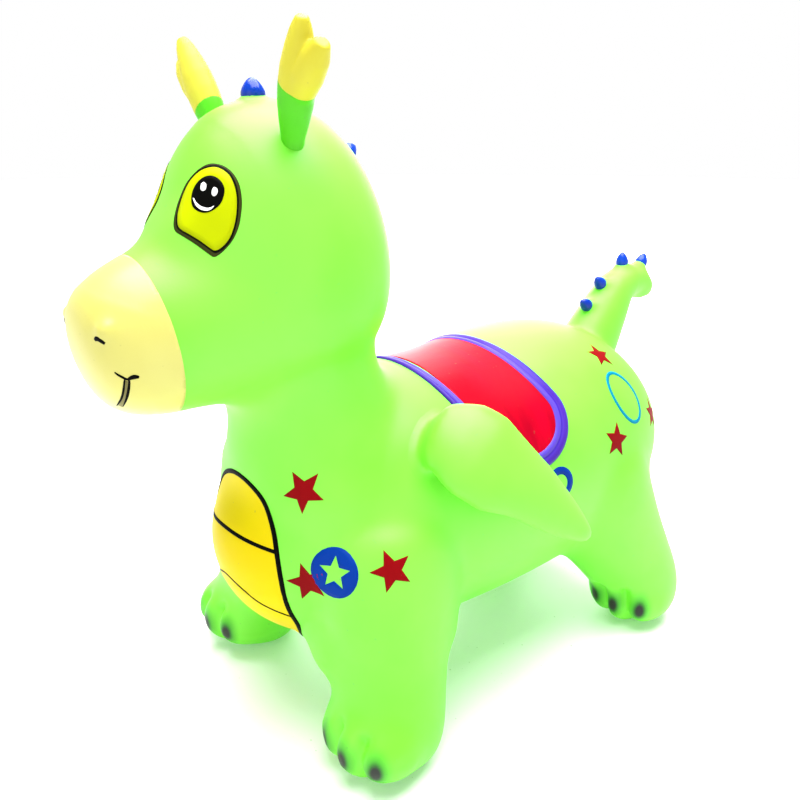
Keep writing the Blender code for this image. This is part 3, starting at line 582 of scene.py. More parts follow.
# %% Limbs lifted from a second moulding
WING_AXIS = (-0.250, 0.720, 0.650)
WING_RINGS = (
    (0.0567, -0.0640, 0.2370, 0.0150, 0.0080), (0.0800, -0.0665, 0.2430, 0.0215, 0.0095),
    (0.0978, -0.0710, 0.2542, 0.0301, 0.0135), (0.1097, -0.0631, 0.2498, 0.0368, 0.0142),
    (0.1218, -0.0556, 0.2417, 0.0395, 0.0150), (0.1329, -0.0455, 0.2298, 0.0364, 0.0154),
    (0.1408, -0.0325, 0.2205, 0.0300, 0.0150), (0.1471, -0.0208, 0.2094, 0.0262, 0.0142),
    (0.1528, -0.0087, 0.1964, 0.0220, 0.0132), (0.1579, 0.0030, 0.1851, 0.0176, 0.0116),
    (0.1624, 0.0129, 0.1755, 0.0124, 0.0096), (0.1676, 0.0212, 0.1676, 0.0070, 0.0064),
)
TAIL_RINGS = (
    (0.190, 0.222, 0.0330), (0.209, 0.250, 0.0306), (0.2265, 0.275, 0.0270), (0.242, 0.297, 0.0232),
    (0.2535, 0.311, 0.0200), (0.2690, 0.3185, 0.0180), (0.2860, 0.3165, 0.0164), (0.2965, 0.3070, 0.0146),
    (0.2990, 0.2990, 0.0106),
)
TAIL_SPIKE_SPOTS = ((0.206, 0.300), (0.2265, 0.320), (0.260, 0.346), (0.2975, 0.339))
TAIL_MOUND, TAIL_MOUND_SUNK = (0.0085, 0.0085, 0.0085), 0.003
TAIL_CORE = ((0.239, 0.290), (0.2505, 0.306), (0.264, 0.316), (0.281, 0.318))
WING_MIDDLE, WING_PIVOT = (0.130, -0.035, 0.220), (0.09484, -0.07558, 0.25089)
WING_OUT, BEND_START, BEND_END = (0.1350, -0.0410, 0.2320), 0.014, 0.044
TAIL_MIDDLE, WING_REACH, TAIL_REACH = Vector((0, 0.250, 0.300)), 0.100, 0.085
CLEAR, TUCK = 0.00015, (0.0, 0.0002, 0.0005, 0.0012)


def mirrored(point, sign):
    """A point of the left side, or its mirror image on the right one."""
    return Vector((sign * point[0], point[1], point[2]))


limb_bm = bmesh_of(form_mesh)
for sign in (1, -1):
    rings = [((sign * x, y, z), wide, deep) for x, y, z, wide, deep in WING_RINGS]
    add_tube(limb_bm, rings, mirrored(WING_AXIS, sign))
tail_bm = bmesh.new()
tail_rings = [((0, y, z), radius, radius) for y, z, radius in TAIL_RINGS]
add_tube(tail_bm, tail_rings, (1, 0, 0))
tail_tree = BVHTree.FromBMesh(tail_bm)
tail_bm.free()
add_tube(limb_bm, tail_rings, (1, 0, 0))
for spot_yz, core_yz in zip(TAIL_SPIKE_SPOTS, TAIL_CORE):
    place, out = seat(tail_tree, (0, *spot_yz), (0, *core_yz))
    add_ball(limb_bm, place - out * TAIL_MOUND_SUNK, TAIL_MOUND)
limb_mesh = moulded(limb_bm, "limb_form", FINE, 8)
limb_bm = bmesh_of(limb_mesh)
for sign in (1, -1):
    soften(limb_bm, mirrored(WING_MIDDLE, sign), 0.085, 9)
limb_mesh = mesh_from(limb_bm, "limb_form")


def lifted(name, middle, reach):
    """The part of the second moulding that stands clear of the skin near a place."""
    bm = bmesh_of(limb_mesh)
    clear = set()
    for vert in close_to(bm, middle, reach):
        place, normal, _, _ = skin_tree.find_nearest(vert.co)
        if (vert.co - place).dot(normal) > CLEAR:
            clear.add(vert)
    grown = {min(clear, key=lambda vert: (vert.co - middle).length)}
    edge_of = set(grown)
    while edge_of:
        edge_of = {edge.other_vert(vert) for vert in edge_of for edge in vert.link_edges} & clear - grown
        grown |= edge_of
    clear = grown
    kept, rings = set(clear), []
    for _ in TUCK:
        ring = {edge.other_vert(vert) for vert in kept for edge in vert.link_edges} - kept
        rings.append(ring)
        kept |= ring
    bmesh.ops.delete(bm, geom=[vert for vert in bm.verts if vert not in kept], context="VERTS")
    bm.normal_update()
    for ring, depth in zip(rings, TUCK):
        for vert in ring:
            if vert.is_valid:
                vert.co -= vert.normal * depth
    bmesh.ops.holes_fill(bm, edges=[edge for edge in bm.edges if edge.is_boundary])
    return mesh_from(bm, name)


for word, sign in SIDES:
    wing_mesh = lifted(f"wing_{word}", mirrored(WING_MIDDLE, sign), WING_REACH)
    wing = finish_piece(f"wing_{word}", wing_mesh, green_paint, None, "green_skin", f"wing_{word}")
    root = mirrored(WING_PIVOT, sign)
    out = (mirrored(WING_OUT, sign) - root).normalized()
    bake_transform(wing)
tail_mesh = lifted("tail", TAIL_MIDDLE, TAIL_REACH)
tail = finish_piece("tail", tail_mesh, green_paint, None, "green_skin", "tail")
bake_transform(tail)
print("limbs", len(wing_mesh.vertices), len(tail_mesh.vertices))

# %% [markdown]
# ## Horns and their tips
# Each horn swells upwards and ends in a main point with a shorter one beside it. The two tubes
# are welded finely. A plane at the edge of the yellow spray then parts the shaft from the tip.

# %% Horns
HORN_ROOT, HORN_TIP, PRONG_TIP = (0.0515, -0.1625, 0.4660), (0.083, -0.172, 0.533), (0.097, -0.167, 0.5185)
FORK_STEP, FORK_SHIFT, PAINT_TILT, HORN_VOXEL = 0.38, 0.003, 0.45, 0.0011
HORN_SHAPE = (
    (-0.16, 0.0074), (0.0, 0.0080), (0.14, 0.0100), (0.28, 0.0115), (0.44, 0.0120), (0.60, 0.0114),
    (0.76, 0.0094), (0.90, 0.0068), (0.99, 0.0040),
)
PRONG_SHAPE = ((0.0, 0.0100), (0.35, 0.0108), (0.70, 0.0092), (0.97, 0.0050))
PAINT_STEPS = {"left": 0.45, "right": 0.27}


def parted(mesh, name, place, out):
    """One side of a closed mesh, closed again at the cut."""
    bm = bmesh_of(mesh)
    bmesh.ops.holes_fill(bm, edges=trim(bm, place, out))
    return mesh_from(bm, name)


for word, sign in SIDES:
    root, tip, prong_tip = (mirrored(point, sign) for point in (HORN_ROOT, HORN_TIP, PRONG_TIP))
    along = tip - root
    horn_bm = bmesh.new()
    add_tube(horn_bm, [(root + along * at, r, r) for at, r in HORN_SHAPE], (0, 1, 0))
    fork = root + along * FORK_STEP + Vector((sign * FORK_SHIFT, 0, 0))
    prong = [(fork.lerp(prong_tip, at), r, r) for at, r in PRONG_SHAPE]
    add_tube(horn_bm, prong, (0, 1, 0))
    horn_mesh = moulded(horn_bm, f"horn_{word}", HORN_VOXEL, 8)
    line = root + along * PAINT_STEPS[word]
    out = (along.normalized() + Vector((sign * PAINT_TILT, 0, 0))).normalized()
    shaft = parted(horn_mesh, f"horn_{word}", line, out)
    cap = parted(horn_mesh, f"horn_tip_{word}", line, -out)
    # The shaft gets the deeper green of painted shade.
    finish_piece(f"horn_{word}", shaft, horn_painted_shade_green, f"horn_{word}", "green_skin", f"horn_{word}")
    finish_piece(f"horn_tip_{word}", cap, horn_paint, f"horn_{word}", "yellow_coat", f"horn_tip_{word}")
print("horns", len(shaft.vertices), len(cap.vertices))

# %% [markdown]
# ## Blue spikes
# The spikes are short rounded cones, dipped in glossy blue. A half outline is turned round its
# axis, then stood on its mound.

# %% Spikes, turned
SPIKE_SHAPE = (
    (0.96, -0.50), (1.00, -0.10), (0.98, 0.08), (0.89, 0.28), (0.76, 0.48), (0.60, 0.67), (0.42, 0.83),
    (0.22, 0.95), (0.0, 1.0),
)
HEAD_SPIKES = (("crown_spike", CROWN_SPOT, 0.0086, 0.0098), ("nape_spike", NAPE_SPOT, 0.0074, 0.0090))
TAIL_SPIKE_RADIUS, TAIL_SPIKE_HEIGHT, TAIL_SPIKE_LEAN = 0.0064, 0.0092, Vector((0, 0, 0.35))


def turned(name, outline, steps=32):
    """Turns a half outline of (radius, height) round the Z axis."""
    bm = bmesh.new()
    points = [bmesh.ops.create_vert(bm, co=(radius, 0, height))["vert"][0] for radius, height in outline]
    edges = [bm.edges.new(pair) for pair in zip(points, points[1:])]
    bmesh.ops.spin(
        bm, geom=points + edges, cent=(0, 0, 0), axis=(0, 0, 1), angle=2 * math.pi, steps=steps,
        use_merge=True,
    )
    bmesh.ops.remove_doubles(bm, verts=bm.verts, dist=1e-7)
    return mesh_from(bm, name)


def spike(name, place, out, radius, height, body):
    outline = [(radius * wide, height * up) for wide, up in SPIKE_SHAPE]
    outline.insert(0, (0.0, outline[0][1]))
    mesh = turned(name, outline)
    turn = out.to_track_quat("Z", "Y").to_matrix().to_4x4()
    mesh.transform(Matrix.Translation(place) @ turn)
    finish_piece(name, mesh, blue_paint, body, "blue_coat", name)


for name, spot_yz, radius, height in HEAD_SPIKES:
    place, out = seat(skin_tree, (0, *spot_yz), (0, *SKULL_CENTRE))
    spike(name, place, out, radius, height, "hopper")
limb_tree = tree_of(limb_mesh)
for index, (spot_yz, core_yz) in enumerate(zip(TAIL_SPIKE_SPOTS, TAIL_CORE), start=1):
    place, out = seat(limb_tree, (0, *spot_yz), (0, *core_yz))
    way = (out + TAIL_SPIKE_LEAN).normalized()
    spike(f"tail_spike_{index}", place, way, TAIL_SPIKE_RADIUS, TAIL_SPIKE_HEIGHT, "tail")

# %% [markdown]
# ## Sprayed zones
# The cream muzzle, the yellow belly and the red saddle are sprayed through stencils. Each is a
# thin film: a copy of the skin, trimmed by planes round the edge of the stencil, lifted by less
# than a millimetre and given a thickness down into the skin.

# %% Muzzle, belly and saddle films
SADDLE_CENTRE, SADDLE_RADIUS, SADDLE_DROP = (0.0172, 0.250), 0.0495, 0.88
SADDLE_LEAN, SADDLE_STEPS, RIM_WIDTH, MM = 0.36, 32, 0.0125, 0.001
COAT_LIFT, COAT_WALL, SADDLE_LIFT, SADDLE_WALL = 0.0004, 0.0010, 0.0008, 0.0014
MUZZLE_EDGE, MUZZLE_LEAN = (0, -0.252, 0.345), math.radians(8.5)
BELLY_HALF = (
    (0, 221.6), (9.0, 220.6), (17.1, 218.0), (27.3, 213.0), (34.4, 207.2), (42.1, 195.0), (47.4, 182.7),
    (51.9, 163.6), (53.3, 143.1), (51.9, 124.7), (47.5, 103.7), (38.0, 87.0), (22.0, 76.5), (0, 73.5),
)


def thicken(made, thickness):
    wall = made.modifiers.new("wall", "SOLIDIFY")
    wall.thickness = thickness
    wall.offset = -1.0


def film(name, low, high, planes, paint, slot, lift=COAT_LIFT, wall=COAT_WALL):
    """A lifted copy of the skin inside a box and behind every plane of (point, way out)."""
    bm = bmesh_of(skin_mesh)
    outside = [
        vert for vert in bm.verts
        if any(vert.co[axis] < low[axis] or vert.co[axis] > high[axis] for axis in range(3))
    ]
    bmesh.ops.delete(bm, geom=outside, context="VERTS")
    for place, out in planes:
        trim(bm, place, out)
    bm.normal_update()
    for vert in bm.verts:
        vert.co += vert.normal * lift
    thicken(finish_piece(name, to_mesh(bm, name), paint, "hopper", slot, name), wall)


muzzle_planes = [(MUZZLE_EDGE, (0, math.cos(MUZZLE_LEAN), math.sin(MUZZLE_LEAN)))]
film("muzzle_coat", (-0.1, -0.4, 0.26), (0.1, -0.22, 0.45), muzzle_planes, cream_paint, "cream_coat")


def rounded(points, steps, closed=True):
    """A smooth curve through the given points."""
    count, line = len(points), []
    for index in range(count if closed else count - 1):
        near = [index + shift for shift in (-1, 0, 1, 2)]
        near = [at % count if closed else max(0, min(count - 1, at)) for at in near]
        a, b, c, d = (Vector(points[at]) for at in near)
        square, cube = a * 2 - b * 5 + c * 4 - d, b * 3 - a - c * 3 + d
        for t in (step / steps for step in range(steps)):
            line.append((b * 2 + (c - a) * t + square * t ** 2 + cube * t ** 3) / 2)
    return line if closed else line + [Vector(points[-1])]


belly_line = rounded(BELLY_HALF + tuple((-x, z) for x, z in BELLY_HALF[-2:0:-1]), 3)
belly_planes = []
for first, second in zip(belly_line, belly_line[1:] + belly_line[:1]):
    run = second - first
    belly_planes.append(((first.x * MM, 0, first.y * MM), (-run.y, 0, run.x)))
film("belly_panel", (-0.08, -0.3, 0.06), (0.08, -0.08, 0.24), belly_planes, yellow_paint, "yellow_coat")


def saddle_planes(radius):
    """Planes round the saddle seen from the side: a leaning tongue with a round lower end."""
    middle = Vector((0, *SADDLE_CENTRE))
    planes = [
        (middle + Vector((0, side * radius, 0)), (0, side, side * SADDLE_LEAN)) for side in (-1, 1)
    ]
    for step in range(1, SADDLE_STEPS):
        angle = math.pi * step / SADDLE_STEPS
        a, b = -radius * math.cos(angle), -radius * math.sin(angle)
        planes.append((middle + Vector((0, a, b * SADDLE_DROP)), (0, a, b / SADDLE_DROP)))
    return planes


rim_radius = SADDLE_RADIUS - RIM_WIDTH / 2
film(
    "saddle_panel", (-0.2, -0.08, 0.17), (0.2, 0.10, 0.35), saddle_planes(rim_radius), red_paint, "red_coat",
    SADDLE_LIFT, SADDLE_WALL,
)

# %% [markdown]
# ## The saddle rim
# A raised double cord runs round the red seat, over the back and down both flanks. Its middle
# line is found by lines that meet the skin. A ridged section is set square to that line at every
# step, and neighbouring sections are bridged.

# %% Rim swept along the skin
RIM_SECTION = (
    (-5.2, -1.0), (-5.0, 0.5), (-4.2, 1.5), (-2.9, 2.0), (-1.6, 1.7), (-0.8, 1.05), (-0.2, 1.10),
    (0.7, 1.9), (2.0, 2.35), (3.5, 2.1), (4.6, 1.3), (5.2, 0.3), (5.3, -1.0), (0.0, -1.2),
)
AXIS_DROP, BACK_REACH, FLANK_REACH, RIM_SPACING = 0.06, 0.135, 0.3, 0.0022
BACK_STEPS, BACK_STEP, END_STEPS = 24, math.radians(3.0), 48
RIM_WIDTHS = (1.0, 1.02, 1.15, 1.36, 1.40, 1.30, 1.22, 1.30, 1.40, 1.36, 1.15, 1.02, 1.0)


def evened(line, spacing, closed):
    """The same line of (place, normal) with evenly spaced and lightly smoothed points."""
    ends = line + line[:1] if closed else line
    lengths = [(second[0] - first[0]).length for first, second in zip(ends, ends[1:])]
    count = max(3, round(sum(lengths) / spacing))
    evenly, at, index = [], 0.0, 0
    for step in range(count if closed else count + 1):
        want = sum(lengths) * min(step / count, 0.99999)
        while at + lengths[index] < want:
            at += lengths[index]
            index += 1
        share = (want - at) / lengths[index]
        evenly.append(tuple(ends[index][k].lerp(ends[index + 1][k], share) for k in (0, 1)))
    last = len(evenly)
    for _ in range(6 if closed else 2):
        evenly = [
            evenly[i] if not closed and i in (0, last - 1)
            else tuple((evenly[i - 1][k] + evenly[i][k] * 2 + evenly[(i + 1) % last][k]) / 4 for k in (0, 1))
            for i in range(last)
        ]
    return evenly


def saddle_line(radius, spacing):
    """Points and normals on the skin round the saddle, evenly spaced, starting over the back."""
    middle = Vector((0, *SADDLE_CENTRE))

    def over_back(side):
        """From the ridge of the back down to where the round end begins."""
        start = middle + Vector((0, side * radius + SADDLE_LEAN * AXIS_DROP, -AXIS_DROP))
        line = []
        for step in range(BACK_STEPS):
            angle = BACK_STEP * step
            way = Vector((math.sin(angle), -SADDLE_LEAN * math.cos(angle), math.cos(angle))).normalized()
            spot = skin_tree.ray_cast(start + way * BACK_REACH, -way)[:2]
            if spot[0].z < SADDLE_CENTRE[1]:
                break
            line.append(spot)
        return line

    half = over_back(-1)
    for step in range(END_STEPS + 1):
        angle = math.pi * step / END_STEPS
        a, b = -radius * math.cos(angle), -radius * math.sin(angle)
        start = middle + Vector((FLANK_REACH, a, b * SADDLE_DROP))
        half.append(skin_tree.ray_cast(start, Vector((-1, 0, 0)))[:2])
    half += reversed(over_back(1))
    other = [(mirrored(place, -1), mirrored(normal, -1)) for place, normal in reversed(half[1:-1])]
    return evened(half + other, spacing, True)


def sweep(name, line, section, closed=True, widths=(1.0,)):
    """Bridges copies of a section of (across, up) in millimetres along a line of (place, normal)."""
    bm = bmesh.new()
    share = bm.verts.layers.float.new("across")
    loops, last = [], len(line) - 1
    for index, (place, normal) in enumerate(line):
        before = line[index - 1] if closed else line[max(index - 1, 0)]
        after = line[(index + 1) % len(line)] if closed else line[min(index + 1, last)]
        along = (after[0] - before[0]).normalized()
        across = along.cross(normal).normalized()
        up = across.cross(along)
        reach = index / last * (len(widths) - 1)
        low = min(int(reach), len(widths) - 1)
        wide = widths[low] + (widths[min(low + 1, len(widths) - 1)] - widths[low]) * (reach - low)
        capped = not closed and index in (0, last)
        made = bmesh.ops.create_circle(bm, cap_ends=capped, segments=len(section), radius=1.0)
        for vert, (side, height) in zip(made["verts"], section):
            vert.co = place + across * side * wide * MM + up * height * MM
            vert[share] = side
        loops.append(ring_edges(made))
    bridge(bm, loops + loops[:1] if closed else loops)
    return mesh_from(bm, name)


rim_line = saddle_line(rim_radius, RIM_SPACING)
rim_mesh = sweep("saddle_rim", rim_line, RIM_SECTION, True, RIM_WIDTHS)
finish_piece("saddle_rim", rim_mesh, purple_paint, "hopper", "purple_coat", "saddle_rim")
print("rim", len(rim_mesh.vertices))

# %% [markdown]
# ## Printed marks
# Eyes, nostrils, mouth, stars and rings are sprayed through stencils, one colour over another.
# Each is a thin film: outlines in millimetres on a flat stencil are thrown onto the skin along
# the stencil's own direction, bridged, and given a wall that sinks into the skin. Lines are swept.

# %% Stencils and strokes
SUNK, STENCIL_REACH = 0.0005, 0.05
FLAT = ((-1.0, -0.6), (-1.0, 0.10), (-0.7, 0.30), (0.0, 0.36), (0.7, 0.30), (1.0, 0.10), (1.0, -0.6))


def on_skin(mark, sign, side, rise):
    """Where a point of a stencil, right and up of its middle in millimetres, lands on the skin."""
    place, out = (mirrored(item, sign) for item in mark)
    out.normalize()
    across = Vector((0, 0, 1)).cross(out).normalized()
    start = place + (across * side + out.cross(across) * rise) * MM
    return skin_tree.ray_cast(start + out * STENCIL_REACH, -out)[:2]


def stencil(name, mark, sign, rings, lift, paint, slot=None, filled=True):
    """A film between closed outlines of equal count, each inside the one before."""
    bm = bmesh.new()
    loops = []
    for ring in rings:
        made = bmesh.ops.create_circle(bm, segments=len(ring), radius=1.0)
        for vert, (side, rise) in zip(made["verts"], ring):
            hit, normal = on_skin(mark, sign, side, rise)
            vert.co = hit + normal * lift
        loops.append(ring_edges(made))
    bridge(bm, loops)
    if filled:
        bmesh.ops.holes_fill(bm, edges=loops[-1])
    bmesh.ops.recalc_face_normals(bm, faces=bm.faces)
    out = mirrored(mark[1], sign)
    if sum(face.normal.dot(out) * face.calc_area() for face in bm.faces) < 0:
        bmesh.ops.reverse_faces(bm, faces=bm.faces)
    thicken(finish_piece(name, to_mesh(bm, name), paint, "hopper", slot), lift + SUNK)


def inward(outline, shares=(1.0, 0.8, 0.55, 0.3, 0.1)):
    """Copies of an outline drawn in towards its middle."""
    middle = sum((Vector(point) for point in outline), Vector((0, 0))) / len(outline)
    return [[middle.lerp(Vector(point), share) for point in outline] for share in shares]


def stroke(name, line, widths, paint, spacing=0.0012):
    mesh = sweep(name, evened(line, spacing, False), FLAT, False, widths)
    finish_piece(name, mesh, paint, "hopper", None)


# %% [markdown]
# ## The face
# Large yellow eyes with a dark edge, black pupils with two glints and a pale crescent below.
# The right eye mirrors the left one, a little nearer the middle. The mouth sits off the middle, as
# it does on the real toy.

# %% Eyes, nostrils and mouth
EYE = ((0.0365, -0.2164, 0.4313), (0.52, -0.78, 0.35))
EYE_EDGE = (
    (1.2, 20.1), (7.6, 18.7), (13.4, 15.2), (18.0, 9.7), (20.6, 3.6), (22.0, -3.7), (22.0, -11.1),
    (21.1, -17.9), (18.8, -24.2), (15.8, -29.3), (11.1, -34.9), (6.8, -38.3), (3.3, -36.9), (-1.3, -34.1),
    (-8.0, -30.3), (-15.1, -26.9), (-19.9, -24.5), (-22.3, -21.0), (-23.4, -15.3), (-23.4, -7.2),
    (-21.8, 0.1), (-18.8, 7.1), (-13.9, 12.9), (-8.5, 17.3), (-3.7, 19.6),
)
EYE_FIELD = (
    (0.3, 17.5), (6.0, 16.6), (11.8, 13.1), (15.8, 7.6), (18.2, 0.9), (19.1, -5.9), (19.0, -13.3),
    (17.7, -20.0), (15.4, -26.0), (11.5, -31.2), (7.1, -34.2), (3.6, -32.9), (-2.4, -29.3), (-9.8, -25.7),
    (-15.7, -23.1), (-18.7, -20.4), (-20.4, -14.7), (-20.6, -8.0), (-19.2, 0.2), (-16.2, 7.0),
    (-12.1, 12.0), (-6.6, 15.7),
)
PUPIL = (
    (-0.8, 11.9), (4.6, 10.7), (8.9, 7.1), (10.7, 2.1), (9.5, -4.2), (5.4, -9.1), (-0.4, -11.6),
    (-6.2, -10.7), (-10.3, -7.5), (-12.0, -2.2), (-11.0, 4.2), (-6.8, 9.6),
)
GLINTS = (
    ((-4.4, 7.6), (-2.4, 6.7), (-1.8, 4.8), (-2.2, 2.8), (-3.9, 1.9), (-5.5, 2.8), (-6.0, 5.1), (-5.5, 6.7)),
    ((3.9, 4.6), (5.7, 3.7), (6.3, 1.9), (5.8, 0.0), (4.3, -1.1), (2.8, -0.2), (2.4, 2.0), (2.8, 3.6)),
)
CRESCENT = ((-10.2, -2.6), (-8.0, -6.0), (-4.6, -8.5), (-0.4, -9.6), (2.6, -9.0), (4.8, -7.2))
NOSTRIL = ((0.0328, -0.2930, 0.3493), (0.53, -0.83, 0.11))
SLIT = ((-4.0, -0.5), (-1.8, 0.8), (1.0, -0.1), (3.4, -2.1))
MOUTH = ((0.0390, -0.2840, 0.3185), (0.70, -0.58, -0.38))
CHIN_LINES = (
    ((1.6, 5.0), (0.9, 3.7), (-0.9, -2.8), (-4.8, -11.7), (-11.5, -21.7)),
    ((3.6, 5.0), (4.0, 3.4), (1.7, -3.9), (-1.6, -11.6), (-6.6, -20.6)),
)
MOUTH_LINES = (
    ("mouth_left", ((-4.1, 9.4), (-2.4, 7.9), (-0.7, 6.9), (1.8, 5.1), (3.2, 4.5)), (0.5, 0.9, 0.9, 0.8)),
    ("mouth_right", ((3.0, 4.5), (5.0, 5.5), (7.1, 6.2), (8.7, 6.2), (10.2, 5.6)), (0.7, 1.2, 1.6, 1.5, 0.8)),
    ("mouth_edge_one", CHIN_LINES[0], (0.5, 0.8, 0.8, 0.7, 0.3)),
    ("mouth_edge_two", CHIN_LINES[1], (0.5, 0.9, 0.9, 0.7, 0.3)),
)
FILM, SHADE_FILM, RIGHT_EYE_SHIFT = 0.00045, 0.00033, 4.0
BAND_LIFT, LINE_LIFT, FIELD_LIFT, PUPIL_LIFT, CRESCENT_LIFT, GLINT_LIFT = (
    0.00025, 0.00042, 0.00058, 0.00074, 0.0008, 0.0009,
)


def lifted_line(mark, points, sign, height):
    """A smooth line of (place, normal) that runs a given height above the skin."""
    spots = [on_skin(mark, sign, sign * side, rise) for side, rise in rounded(points, 6, False)]
    return [(hit + normal * height, normal) for hit, normal in spots]


for word, sign in SIDES:
    shift = 0.0 if sign > 0 else RIGHT_EYE_SHIFT
    edge, field, pupil, *glints = (
        [(sign * side + shift, rise) for side, rise in rounded(outline, steps)]
        for outline, steps in ((EYE_EDGE, 4), (EYE_FIELD, 4), (PUPIL, 5), *((glint, 3) for glint in GLINTS))
    )
    stencil(f"eye_{word}_band", EYE, sign, inward(edge), BAND_LIFT, band_paint)
    stencil(f"eye_{word}_line", EYE, sign, inward(field, (1.06, 0.8, 0.55, 0.3, 0.1)), LINE_LIFT, ink_paint)
    stencil(f"eye_{word}_field", EYE, sign, inward(field), FIELD_LIFT, eye_paint, "yellow_coat")
    stencil(f"eye_{word}_pupil", EYE, sign, inward(pupil), PUPIL_LIFT, ink_paint)
    for number, glint in enumerate(glints, 1):
        stencil(f"eye_{word}_glint_{number}", EYE, sign, inward(glint, (1.0, 0.5)), GLINT_LIFT, white_paint)
    line = lifted_line(EYE, [(side + sign * shift, rise) for side, rise in CRESCENT], sign, CRESCENT_LIFT)
    stroke(f"eye_{word}_crescent", line, (0.3, 0.7, 1.0, 1.0, 0.8, 0.3), white_paint)
    line = lifted_line(NOSTRIL, SLIT, sign, FILM)
    stroke(f"nostril_{word}", line, (1.0, 1.6, 1.7, 1.6, 1.0), ink_paint)
band = [((a[0] + b[0]) / 2, (a[1] + b[1]) / 2) for a, b in zip(*(line[1:] for line in CHIN_LINES))]
stroke("mouth_shade", lifted_line(MOUTH, band, 1, SHADE_FILM), (1.0, 1.2, 1.6, 2.2), shade_paint)
for name, points, widths in MOUTH_LINES:
    stroke(name, lifted_line(MOUTH, points, 1, FILM), widths, ink_paint)

# %% [markdown]
# ## Lines on the belly
# The yellow belly panel has a black outline and two cross lines. The lettering of the real toy
# is left off.

# %% Belly outline and cross lines
CROSS_LINES = (
    ((-48.6, 175.4), (-25.7, 179.4), (0.0, 181.4), (25.7, 179.4), (48.6, 175.4)),
    (
        (-50.0, 117.2), (-32.0, 126.0), (-20.8, 133.8), (0.0, 141.5), (20.8, 133.8), (32.0, 126.0),
        (50.0, 117.2),
    ),
)
CROSS_HALVES, OUTLINE_HALF, BELLY_SPACING = (1.5, 0.9), 1.9, 0.0025


def on_belly(points):
    starts = [Vector((x * MM, -0.3, z * MM)) for x, z in points]
    spots = [skin_tree.ray_cast(start, Vector((0, 1, 0)))[:2] for start in starts]
    return [(hit + normal * FILM, normal) for hit, normal in spots]


outline = evened(on_belly(belly_line), BELLY_SPACING, True)
outline_mesh = sweep("belly_outline", outline, [(x * OUTLINE_HALF, z) for x, z in FLAT])
finish_piece("belly_outline", outline_mesh, ink_paint, "hopper", None)
for number, (points, half) in enumerate(zip(CROSS_LINES, CROSS_HALVES), 1):
    stroke(f"belly_line_{number}", on_belly(rounded(points, 8, False)), (half,), ink_paint, BELLY_SPACING)

# %% [markdown]
# ## Stars and rings
# Dark red stars are scattered over the chest and the rump. The numeral and the badges of the
# real toy are replaced by a plain blue disc with a star hole, a blue ring and a teal ring of
# like size. The right flank mirrors the left one.

# %% Stars, disc and rings
STARS = (
    ("chest_star_1", (0.0609, -0.1719, 0.2230), (0.60, -0.78, 0.10), 16.2, -90),
    ("chest_star_2", (0.1164, -0.1342, 0.1704), (0.84, -0.43, 0.33), 16.2, 180),
    ("chest_star_3", (0.0700, -0.1775, 0.1535), (0.72, -0.69, -0.04), 16.0, 180),
    ("rump_star_1", (0.0674, 0.1482, 0.2713), (0.53, 0.15, 0.83), 15.0, 0),
    ("rump_star_2", (0.1167, 0.1173, 0.2095), (0.96, 0.05, 0.29), 16.0, 0),
    ("rump_star_3", (0.0983, 0.1929, 0.2130), (0.83, 0.45, 0.33), 15.0, 0),
)


def star(radius, turn, steps=4, inner=0.45):
    """The outline of a five-pointed star, with extra points along its edges."""
    corners = []
    for step in range(10):
        angle = math.radians(turn + 36 * step)
        reach = radius if step % 2 == 0 else radius * inner
        corners.append(Vector((reach * math.cos(angle), reach * math.sin(angle))))
    pairs = zip(corners, corners[1:] + corners[:1])
    return [first.lerp(second, step / steps) for first, second in pairs for step in range(steps)]


def oval(wide, high, turn, count=40):
    spin = Matrix.Rotation(math.radians(turn), 2)
    angles = [2 * math.pi * step / count for step in range(count)]
    return [spin @ Vector((wide * math.cos(angle), high * math.sin(angle))) for angle in angles]


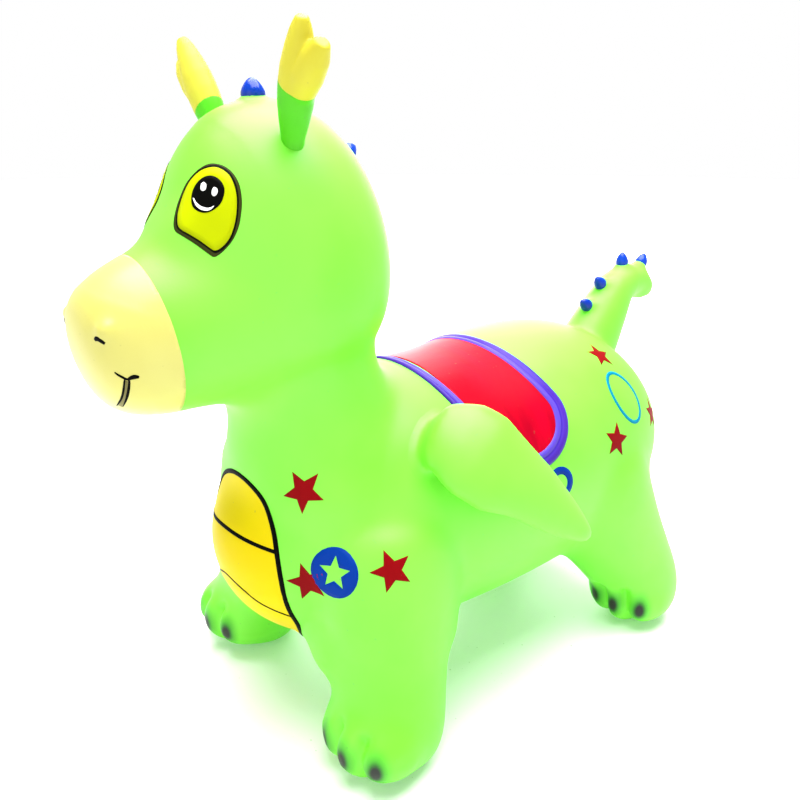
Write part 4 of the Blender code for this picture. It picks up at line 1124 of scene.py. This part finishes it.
BADGE = ((0.1202, 0.0409, 0.1900), (0.99, -0.04, 0.13))
RUMP = ((0.0985, 0.1480, 0.2385), (0.82, 0.16, 0.54))
DISC = ((0.0865, -0.1640, 0.1655), (0.56, -0.79, 0.25))
DISC_RADIUS, HOLE_RADIUS, MARK_LIFT = 19.0, 13.0, 0.0003
RINGS = (
    ("badge_ring", BADGE, (14.5, 14.5, 0), 6.5, royal_paint, "blue_coat"),
    ("rump_ring", RUMP, (19.5, 27, 14), 3.3, teal_paint, None),
)
for word, sign in SIDES:
    for name, *mark, radius, turn in STARS:
        rings = inward(star(radius, turn if sign > 0 else 180 - turn))
        stencil(f"{name}_{word}", mark, sign, rings, MARK_LIFT, star_paint, "red_coat")
    hole = star(HOLE_RADIUS, 90)
    disc = [point.normalized() * DISC_RADIUS for point in hole]
    rings = [[far.lerp(near, share) for far, near in zip(disc, hole)] for share in (0.0, 0.33, 0.66, 1.0)]
    stencil(f"chest_disc_{word}", DISC, sign, rings, MARK_LIFT, royal_paint, "blue_coat", False)
    for name, mark, (wide, high, turn), band, paint, slot in RINGS:
        rings = [oval(wide - band * share, high - band * share, sign * turn) for share in (0.0, 0.5, 1.0)]
        stencil(f"{name}_{word}", mark, sign, rings, MARK_LIFT, paint, slot, False)

# %% [markdown]
# ## The filling hole
# Under the belly a thick ring is welded round the filling hole, and a ribbed stopper is pushed
# into it. Both are turned.

# %% Valve collar and plug
VALVE = Vector((0.0, 0.02, 0.05334))
COLLAR = (
    (6.9, -1.2), (7.3, -1.5), (15.2, -1.5), (15.9, -1.1), (16.0, -0.6), (16.0, 0.0), (12.0, 0.0),
    (12.0, 12.6), (11.6, 13.0), (7.3, 13.0), (6.9, 12.6), (6.9, -1.2),
)
PLUG = (
    (0.0, -4.3), (4.0, -4.4), (5.0, -4.8), (9.6, -4.8), (10.6, -4.4), (11.0, -3.8), (11.0, -2.2),
    (10.6, -1.8), (6.0, -1.8), (6.0, 4.0), (6.6, 4.5), (6.0, 6.5), (6.0, 10.0), (6.6, 10.5), (6.0, 12.5),
    (6.0, 16.4), (5.0, 18.0), (0.0, 18.0),
)
for name, outline, paint, body, slot in (
    ("valve_collar", COLLAR, green_paint, "hopper", "green_skin"),
    ("air_plug", PLUG, plug_paint, "air_plug", "plug"),
):
    mesh = turned(name, [(radius * MM, height * MM) for radius, height in outline], 40)
    mesh.transform(Matrix.Translation(VALVE))
    finish_piece(name, mesh, paint, body, slot, name)
